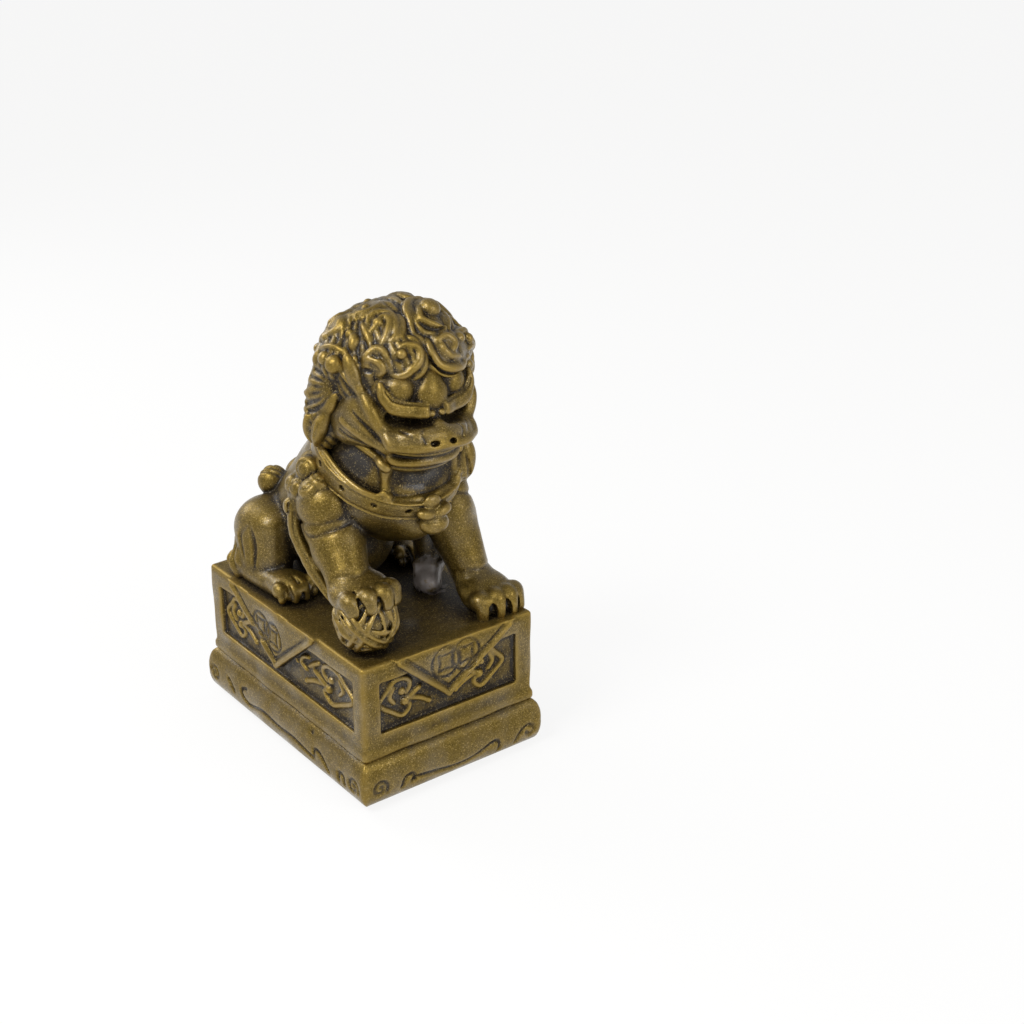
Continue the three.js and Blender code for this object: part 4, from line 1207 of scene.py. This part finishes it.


# %% [markdown]
# The mane is low relief: thick strands that hook and wind round small bosses, with narrow grooves
# left between them. Each strand is a roll laid along a path on the smooth hair mass, which is how
# the modeller's tool drew it. The paths over the brow, crown and sides are long lists, and a
# separate program worked out nearly all of their points; a better script would lay them out from
# a few chosen values, as the curls at the back are.

# %% Hair mass and swellings under the curls
mane = Clay((-23.5, -34.5, 37), (23.5, 13, 80), 0.31)
CAP_CENTRE, CAP_HALF = np.array((1.0, -13.1, 61.0)), np.array((18.3, 15.8, 15.2))
mane.press(lump(CAP_CENTRE, CAP_HALF), 2)
mane.press(lump((0, -1.8, 52.2), (13.4, 9.6, 12.4)), 3)
mane.press(lump((-14.6, -8.2, 50.4), (4.4, 5.6, 8.4)), 2)
mane.press(lump((15.2, -8.4, 50.4), (4.4, 5.8, 8.4)), 2)
mane.cut(lump((-8.5, -6.0, 85.0), (12, 12, 12)), 2.5)
mane.cut(lump((0, -31.5, 53.0), (14.4, 9.6, 11.2)), 1.0)
mane.cut(lump((0, -27.0, 44.5), (17, 13.5, 9.5)), 1.0)
x, y, z = mane.everywhere()
flow = 0.75 * x - 0.35 * y + 0.55 * z
flow = flow + 2.2 * np.sin(x / 5.2 + 1) + 2.2 * np.sin(y / 4.6) + 2.4 * np.sin(z / 5.0 + 2)
combed = (0.45 * (0.6 - np.abs(np.sin(flow * math.pi / 1.9)) ** 0.7)).astype(np.float32)
swellings = [
    (5.5, -26.0, 67.2, 5.0, 2.2), (12.6, -22.8, 67.2, 3.6, 1.8), (-5.6, -26.0, 67.2, 4.4, 2.0),
    (-10.9, -23.3, 66.4, 3.0, 1.6), (-7.0, -19.8, 72.4, 4.0, 1.4), (4.4, -19.8, 74.0, 5.2, 1.9),
    (-6.0, -9.6, 73.4, 4.6, 0.5), (8.0, -9.6, 73.8, 4.6, 1.0), (-12.0, -9.8, 70.4, 3.2, 0.6),
    (14.0, -9.8, 70.6, 3.2, 1.2), (-16.3, -12.6, 64.8, 4.0, 1.4), (18.3, -12.6, 64.8, 4.0, 1.4),
]
for x0, y0, z0, radius, height in swellings:
    at = mane.settle([(x0, y0, z0)], -0.5)[0]
    mane.press(lump(at, (radius, radius, height), axes_of(mane.outward([at])[0])), 1.6)
hair_guide = mane.copy()
mane.field += combed


def on_cap(azimuth, elevation):
    """A place on the cap, by degrees round from the front and up."""
    a, e = math.radians(azimuth), math.radians(elevation)
    way = np.array((math.sin(a) * math.cos(e), -math.cos(a) * math.cos(e), math.sin(e)))
    return CAP_CENTRE + way * CAP_HALF


def strand(path, thick, proud=0.0, cut=False):
    """A strand laid along a path on the hair mass, or a groove scraped along it."""
    spots = hair_guide.settle(smooth_path(path, 5), 0.2 if cut else proud)
    mane.stroke(spots, swell(len(spots), thick * 0.5, thick), 0.25 if cut else 0.4, cut=cut)


def boss(place, radius, proud=0.2):
    """A round grain of hair."""
    at = hair_guide.settle([place], proud)[0]
    mane.press(lump(at, (radius, radius, radius * 0.8), axes_of(hair_guide.outward([at])[0])), 0.25)


def hook(place, radius, start, hand=1):
    """A curl laid out by its size and the degrees it starts at: a strand wound once round a boss."""
    at = hair_guide.settle([place])[0]
    side, rise, out = axes_of(hair_guide.outward([at])[0])
    t = np.linspace(0, 1, 20)[:, None]
    angle = math.radians(start) + hand * t * 7.4
    reach = radius * (1 - 0.6 * t)
    mane.press(lump(at - out * 0.7, (radius, radius, 1.4), np.array([side, rise, out])), 1.6)
    spots = hair_guide.settle(at + (side * np.cos(angle) + rise * np.sin(angle)) * reach, 0.25)
    mane.stroke(spots, swell(20, 0.45, 0.95), 0.35)
    mane.press(lump(at + out * 0.4, (radius * 0.3,) * 3), 0.25)


# %% Strands over the brow and crown
ridges = [
    (0.95, [(-2.4, -6.8, 75), (-3.3, -9.9, 75.4), (-5.2, -13.9, 75.3), (-7.1, -15.5, 74.4)]),
    (0.85, [(-7.3, -5.3, 72.7), (-7, -8.3, 73.8), (-5.5, -8.4, 74.4), (-3.5, -6.6, 74.4),
           (-4.3, -6, 74.5)]),
    (0.8, [(-9.6, -9, 72.7), (-9.5, -11.9, 73.4), (-8.2, -13.6, 74.1), (-8.3, -15.3, 73.9)]),
    (0.7, [(1.1, -8.3, 75.9), (1.3, -10.8, 76), (0.6, -14.7, 76.1)]),
    (0.75, [(-1.7, -9.4, 75.6), (-2.1, -12.8, 76), (-2.1, -15.3, 75.8), (-2.2, -17.5, 75.3)]),
    (0.75, [(-3.9, -13, 75.6), (-3.9, -15.4, 75.5), (-3.8, -17.1, 75.1), (-3.9, -18.6, 74.6)]),
    (0.7, [(1, -8.3, 75.7), (2.5, -9, 75.6), (1.1, -13.9, 76.2), (1, -16.4, 75.9)]),
    (0.7, [(-2.3, -13.2, 75.9), (-2.2, -15.3, 75.8), (-2.4, -17.4, 75.3)]),
    (0.7, [(4.3, -10, 76.7), (5.2, -10.5, 75.8), (3.7, -14.3, 76)]),
    (0.7, [(7.1, -11.4, 76.1), (7.8, -12.2, 75.3), (8.5, -12.5, 75)]),
    (0.7, [(9.3, -12.6, 76.2), (10.2, -13.4, 75.7), (10.7, -13.7, 74.8)]),
    (0.7, [(-3.2, -19.1, 74.6), (-2.9, -20.2, 74.2), (-3.4, -21.8, 73.1), (-5.3, -24.2, 70.5)]),
    (0.7, [(-4.1, -19.2, 74.3), (-5.5, -21.7, 72.5), (-7.2, -23.5, 70.2)]),
    (0.75, [(-3.9, -24.4, 70.8), (-3.1, -25.2, 70.2), (-2.4, -26.3, 68.8)]),
    (0.75, [(-1.9, -24.2, 71.5), (-0.8, -25.3, 70.5), (-0.7, -26.2, 69.4)]),
    (0.8, [(-10, -16.7, 72.6), (-10.2, -18.2, 71.9), (-10.7, -19.6, 70.9), (-11.2, -21.3, 69)]),
    (0.9, [(-8.9, -17, 73.2), (-7.5, -16.4, 74.1), (-6.1, -16.7, 74.6), (-4.8, -18.1, 74.6),
           (-4.7, -19.7, 74), (-5.3, -21.5, 72.7), (-6.5, -23.2, 70.8), (-7.1, -23.8, 69.9)]),
    (0.9, [(-9.5, -19.4, 71.8), (-7.9, -19, 73), (-6.4, -18.5, 73.9), (-5.6, -19.1, 73.9), (-6, -20.6, 73),
           (-7.2, -21.6, 71.8), (-8.6, -22.3, 70.4), (-9.2, -22.8, 69.5)]),
    (0.7, [(-3.4, -20.2, 74.1), (-4.4, -22.3, 72.5), (-5.9, -24.1, 70.2)]),
    (1.3, [(-12.6, -16.4, 70.6), (-13.1, -17.4, 69.7), (-13.8, -18, 68.5)]),
    (0.95, [(-2, -24.1, 71.6), (-1.3, -21.9, 73.5), (-0.1, -19.3, 74.9), (1.9, -17.2, 75.7),
           (4.4, -15.5, 75.7), (8, -13.5, 75), (9.9, -13.3, 74.3), (8.8, -17.2, 74.2), (8, -19.9, 73.4)]),
    (0.85, [(3.7, -17.8, 75.3), (2.1, -19.7, 74.8), (1.5, -21.4, 73.9), (2.5, -22.5, 73.2),
           (4.2, -23, 72.5), (5.5, -23.7, 71.6), (5.9, -24.2, 71)]),
    (0.7, [(0.8, -21.6, 73.8), (0.2, -23.1, 72.7), (0.6, -24.2, 71.8), (2, -24.7, 71.3),
           (3.7, -24.6, 71.2)]),
    (0.75, [(9, -16.1, 74.3), (9.7, -18, 73.5), (8.6, -20.8, 72.7), (7, -23.4, 71.4)]),
    (0.75, [(13.6, -16.2, 72.8), (14.6, -17.1, 72.3), (15.5, -17.9, 70.9), (15.6, -18.3, 70)]),
    (0.7, [(12.6, -16.2, 72.3), (10.7, -20.5, 71.7), (9.6, -22.8, 70.6)]),
    (1.05, [(-5.3, -25.3, 69.2), (-3.6, -26, 68.8), (-3, -26.7, 67.9), (-3.5, -27.3, 66.4),
           (-4.8, -27.4, 65.3), (-6.5, -27, 64.4), (-8.2, -26.4, 63.9)]),
    (0.9, [(-2, -26.7, 68.2), (-1.6, -27.7, 66.5), (-2, -28.1, 65), (-3.7, -28, 63.4),
           (-4.6, -27.3, 62.4)]),
    (1.15, [(0.7, -25.7, 70.1), (0.7, -26.8, 68.6), (1.3, -27.5, 67.3), (2.5, -28, 65.8),
           (4.5, -28.1, 64.9), (7, -27.5, 64.7), (10, -26.3, 64.6), (11.9, -24.8, 65.5)]),
    (1.0, [(3.2, -26.2, 69.3), (5, -25.6, 69.7), (6.4, -25.8, 68.8), (6.5, -26.3, 68.1), (5.1, -27, 67.4)]),
    (0.9, [(3.5, -26.5, 68.8), (3.6, -27.2, 67.5), (4.8, -27.5, 66.4), (7.3, -27, 65.9)]),
    (0.85, [(-1, -27.8, 66.2), (0.7, -28.4, 64.7), (3.3, -28.4, 63.7), (6.4, -27.9, 63.6),
           (9.3, -26.8, 64)]),
    (1.05, [(8.5, -24.6, 69.3), (11.6, -22.6, 69.3), (15.9, -19.3, 67.4), (14.8, -21.6, 66.6),
           (12.2, -24.2, 66.5)]),
    (0.8, [(16.5, -19.7, 67.7), (17.4, -20.5, 66.4), (17.3, -21.3, 65.1)]),
    (1.05, [(-12.6, -21.7, 66.9), (-11.6, -22.2, 67.6), (-10.6, -22.6, 68.3), (-9.8, -23.5, 68),
           (-9.3, -24.5, 67.2)]),
    (0.95, [(-12.5, -22, 66.5), (-11.3, -23.2, 66.5), (-10.6, -24.2, 65.9), (-10.4, -24.7, 64.9),
           (-11.1, -24.6, 63.8)]),
]
grooves = [
    (0.45, [(-8.2, -7.3, 72.9), (-7.8, -12.4, 74.3), (-6.2, -12, 74.9), (-4.6, -10, 75.2)]),
    (0.5, [(0.9, -22.2, 73.4), (2.6, -23.3, 72.5), (5.6, -24.1, 71.2)]),
    (0.55, [(-0.1, -27.5, 67.2), (1.5, -28.2, 65.4), (4.2, -28.3, 64.3), (8.4, -27, 64.6)]),
    (0.65, [(15.7, -20.7, 66.2), (14.9, -22.3, 65.2)]),
    (0.75, [(-13.4, -22, 64.5), (-11.4, -24, 64.7)]),
    (0.4, [(-11.4, -22.6, 67.4), (-10.6, -23.7, 66.8)]),
    (0.6, [(-4.8, -26.2, 68), (-4.7, -26.9, 66.6)]),
    (0.6, [(-7.5, -25.7, 66.8), (-6.4, -26.5, 66.2)]),
]
for thick, path in ridges:
    strand(path, thick)
for thick, path in grooves:
    strand(path, thick, cut=True)
for place, radius in [((-7.9, -19.0, 73.0), 1.15), ((4.9, -19.5, 74.5), 2.5),
                      ((-6.5, -25.7, 67.7), 1.2), ((9.7, -24.4, 68.7), 1.3), ((12.9, -22.6, 68.0), 1.3),
                      ((-14.3, -19.7, 66.2), 0.9), ((-14.1, -20.4, 65.0), 0.8), ((-13.0, -15.2, 71.0), 1.0)]:
    boss(place, radius)
print("strands over the brow and crown:", len(ridges) + len(grooves))


# %% Side curls, fans of strands and hanging locks
side_ridges = [
    (0.8, [(-10.1, -7.2, 71.6), (-11.6, -11.1, 71.8), (-12.6, -12.2, 71)]),
    (0.6, [(-15.8, -8, 64.3), (-15.9, -10, 65.9), (-15.7, -13, 67), (-15.3, -15.6, 67.3),
           (-15.3, -17.1, 66.5)]),
    (0.9, [(-17.6, -6.5, 60.5), (-17.3, -7.5, 62.4), (-16.8, -9.8, 62.6), (-17, -11.7, 61.6)]),
    (0.9, [(-16.3, -17.2, 63.4), (-15.8, -19.1, 62.2), (-14.9, -20.8, 60.7), (-13.8, -22.2, 60.1)]),
    (0.95, [(-14.8, -16.3, 67.8), (-15.1, -18.4, 65.9), (-14.9, -20.5, 63.2), (-14.8, -20.9, 61.9)]),
    (1.0, [(-18.8, -8.4, 51.6), (-18.6, -7.4, 49.2), (-18.0, -6.8, 46.5), (-17.6, -7.2, 44.0)]),
    (1.1, [(-17.6, -14.6, 53.0), (-18.2, -13.9, 51.0), (-18.2, -12.4, 48.0), (-17.7, -8.6, 43.6)]),
    (0.8, [(-18.6, -12.4, 50.2), (-18.7, -10.9, 47.2), (-18.0, -8.4, 45.2)]),
]
side_grooves = [
    (0.45, [(-10.9, -11.1, 72.3), (-11.8, -13.3, 71.8)]),
    (0.6, [(-15, -19.6, 64.6), (-15.2, -20, 63.1)]),
    (0.45, [(-15.1, -19.5, 64.4), (-15.1, -20, 63.3), (-15, -20.5, 62.3)]),
    (0.5, [(-17.2, -12.9, 61.1), (-17, -15.3, 60.7), (-16.5, -17.5, 60.8)]),
    (0.5, [(-16.9, -9.7, 59.2), (-17.1, -13, 59.4), (-16.6, -16.8, 59.9)]),
    (0.5, [(-17.3, -8.3, 56.9), (-17.4, -11.9, 57.6), (-16.9, -15.1, 58.9)]),
    (0.45, [(-17.8, -8, 55.7), (-17.7, -11.4, 56.6), (-17, -14.2, 57.9)]),
    (0.5, [(-18.6, -10.4, 54.2), (-17.7, -12.5, 55.9), (-16.5, -15.6, 57.3)]),
    (0.55, [(-18.9, -9, 52.1), (-18.4, -12.6, 53.6), (-17, -14.8, 55.5)]),
    (0.7, [(-17.2, -15.8, 50.8), (-18, -13.9, 47.6), (-17.7, -10.3, 44.6)]),
    (0.5, [(-19, -10.8, 51.1), (-19, -10.4, 49.5), (-18.7, -9.9, 47.8)]),
]
SIDE_BOSSES = [((-17.2, -15.9, 64.6), 2.1), ((-16.6, -17.4, 64.4), 1.2), ((-17.6, -12.4, 65.2), 1.6)]
FAN_TIPS = [
    ((-17.8, -9.4, 61.8), 0.9), ((-18.1, -7.0, 59.8), 0.6), ((-18.4, -5.8, 57.4), 0.3),
    ((-18.6, -5.8, 55.2), 0), ((-18.6, -6.2, 53.0), -0.4), ((-18.6, -8.0, 51.6), -0.8),
]
for s in (1, -1):
    for thick, path in side_ridges:
        strand(np.array(path) * (s, 1, 1), thick)
    for thick, path in side_grooves:
        strand(np.array(path) * (s, 1, 1), thick, cut=True)
    mane.press(lump((-17.0 * s, -11.0, 57.2), (1.9, 5.6, 5.8)), 1.0)
    root = np.array((-16.6, -17.2, 58.8))
    for tip, bend in FAN_TIPS:
        middle = (root + tip) / 2 + (-0.6, 0, bend)
        line = smooth_path(np.array([root + (0, 0.8, bend * 0.5), middle, tip]) * (s, 1, 1), 6)
        line = mane.settle(line, 0.12)
        mane.stroke(line, np.linspace(0.35, 0.8, len(line)), 0.3, cut=True)
    lock = np.array([(-17.2, -12.6, 51.8), (-17.9, -11.8, 49.4), (-18.0, -10.8, 47.0), (-17.6, -9.4, 44.0)])
    lock = smooth_path(lock * (s, 1, 1), 6)
    radii = np.interp(np.linspace(0, 1, len(lock)), (0, 0.4, 0.7, 1), (1.2, 2.0, 1.7, 0.6))
    mane.stroke(lock, radii, 0.5)
    for ahead, size in ((-1.0, 0.4), (0.6, 0.55)):
        line = mane.settle(lock[3:-2] + (-2.0 * s, ahead, 0), 0.1)
        mane.stroke(line, swell(len(line), 0.2, size), 0.2, cut=True)
    for place, radius in SIDE_BOSSES:
        boss(np.array(place) * (s, 1, 1), radius)
    hook((-12.6 * s, -9.9, 70.8), 2.5, 100, s)
    strand(np.array([(-15.0, -6.6, 67.4), (-14.0, -8.6, 68.4), (-13.4, -10.2, 68.0)]) * (s, 1, 1), 1.1, 0.3)
    strand(np.array([(-16.6, -7.0, 62.6), (-16.9, -8.6, 63.8), (-16.2, -9.2, 65.4)]) * (s, 1, 1), 1.0, 0.3)
strand([(6.0, -7.0, 75.4), (4.4, -10.5, 75.6), (6.4, -14.0, 75.0)], 0.9)
strand([(10.4, -8.6, 72.6), (9.6, -12.0, 73.6), (11.6, -15.4, 72.6)], 0.8)


# %% Curls down the back and nape
rows = [
    (64, 4.6, (150, 205, 255)),
    (40, 4.7, (104, 134, 164, 194, 224)),
    (15, 4.8, (104, 131, 158, 185, 212, 239)),
    (-11, 4.6, (110, 137, 164, 191, 218, 245)),
]
for elevation, radius, around in rows:
    for number, azimuth in enumerate(around):
        wander = 3 * math.sin(azimuth * 1.7 + elevation)
        hook(on_cap(azimuth + wander, elevation + wander * 0.7), radius - 0.4 + 0.3 * math.sin(azimuth),
             azimuth * 2.3, 1 if number % 2 else -1)
for x0, y0, z0 in ((-9.6, 5.0, 50), (-3.2, 7.6, 50.4), (3.2, 7.6, 50.4), (9.6, 5.0, 50),
                   (-6.4, 6.4, 44.2), (0, 7.6, 43.8), (6.4, 6.4, 44.2)):
    hook((x0, y0, z0), 3.7, x0 * 31, 1 if x0 > 0 else -1)
softer = mane.copy()
softer.field = blurred(softer.field, 1)
mane.field = (0.65 * mane.field + 0.35 * softer.field).astype(np.float32)
cast(mane, "lion_mane", ["mane_cap", "mane_nape", "crown_curls"] + [
    f"{part}_{side}" for side in SIDES for part in ("forelock", "side_locks")], lift=deck, lean=True)


# %% [markdown]
# Dust, wax and painted shade don't stop where one lump of clay was laid on the next, so every
# casting is coloured by the whole statue. All the clays are poured into one coarse block, and each
# point learns how much solid there is round it, within three millimetres and within eight: about
# half on an open face, more in a hollow and less on an edge. The count within eight, depth, is
# painted shade in deep recesses under and between parts.

# %% Hollows and painted shade of the whole statue
COARSE = 0.7
whole = Clay((-30, -41, -1), (30, 41, 121), COARSE)


def upright(points):
    """The place of leaned points before the head was leaned."""
    c, s = math.cos(HEAD_LEAN), math.sin(HEAD_LEAN)
    x, y, z = points[:, 0], points[:, 1], points[:, 2] - LEAN_HEIGHT
    return np.stack([x * c - z * s, y, LEAN_HEIGHT + x * s + z * c], 1)


def points_mm(mesh):
    """A mesh's points in millimetres."""
    spots = np.empty(len(mesh.vertices) * 3, np.float32)
    mesh.vertices.foreach_get("co", spots)
    return spots.reshape(-1, 3) / MM


for mesh, clay, lift, lean in castings:
    low = clay.low + (0, 0, lift)
    high = low + clay.cube * (np.array(clay.field.shape) - 1)
    slack = 4.0 if lean else 0.0
    window, lines = whole.part(low - slack, high + slack)
    spots = np.stack([np.broadcast_to(line, whole.field[window].shape) for line in lines], -1).reshape(-1, 3)
    spots = spots.astype(float) - (0, 0, lift)
    spots = upright(spots) if lean else spots
    inside = ((spots >= clay.low) & (spots <= high - (0, 0, lift))).all(1)
    found = np.full(len(spots), FAR, np.float32)
    found[inside] = clay.reading(spots[inside])
    whole.field[window] = np.minimum(whole.field[window], found.reshape(whole.field[window].shape))
solid = np.clip(0.5 - whole.field / (2 * COARSE), 0, 1).astype(np.float32)
# hollow places wax and dust in hollows; depth darkens deep recesses as painted shade.
for label, width, strength in (("hollow", 2.8, 4.0), ("depth", 7.7, 4.0)):
    whole.field = blurred(solid, round(width / COARSE))
    for mesh, *_ in castings:
        store(mesh, label, (whole.reading(points_mm(mesh)) - 0.5) * strength)


# %% [markdown]
# Wax and painted shade lie in a few places: under the belly and inside the left foreleg (mostly
# painted shade), in the hollow throat panels, on the muzzle under the brows and between the toes.
# Each is an egg-shaped puddle, and a point learns how far inside one it lies.

# %% Pooled wax and painted shade
# Puddles of dark wax and painted shade; under the belly and inside the left foreleg they are mostly painted
# shade.
wax_and_shade_puddles = [
    ((4.5, 1.5, 8.0), (14, 14.5, 9.5)),
    ((12.6, -13.0, 10.5), (4.6, 6.6, 9.0)),
    ((0, -27.0, 38.4), (6.6, 1.2, 2.4)),
]
for x0, y0, z0, wide in TOE_GAPS_LEFT + TOE_GAPS_RIGHT:
    wax_and_shade_puddles.append(((x0, y0 + 0.8, z0 - 1.9), (wide + 0.3, 2.0, 2.6)))
for s in (-1, 1):
    wax_and_shade_puddles += [((12.6 * s, -18.4, 42.2), (2.2, 5.0, 3.2)), ((4.8 * s, -32.4, 51.8), (5.4, 3.0, 2.5))]
    wax_and_shade_puddles += [(((17.6 + at) * s, 1.0, 2.4), (0.9, 1.8, 2.6)) for at in HIND_TOE_GAPS]
wax_and_shade_pools = whole.copy()
wax_and_shade_pools.field[:] = FAR
for place, size in wax_and_shade_puddles:
    wax_and_shade_pools.press(lump(np.array(place) + (0, 0, deck), size), 0.5)
for mesh, *_ in castings:
    store(mesh, "pooled_wax_and_shade", np.clip(0.4 - wax_and_shade_pools.reading(points_mm(mesh)) / 1.6, 0, 1))
print("whole statue in one block:", solid.shape, "solid part", round(float(solid.mean()), 3))
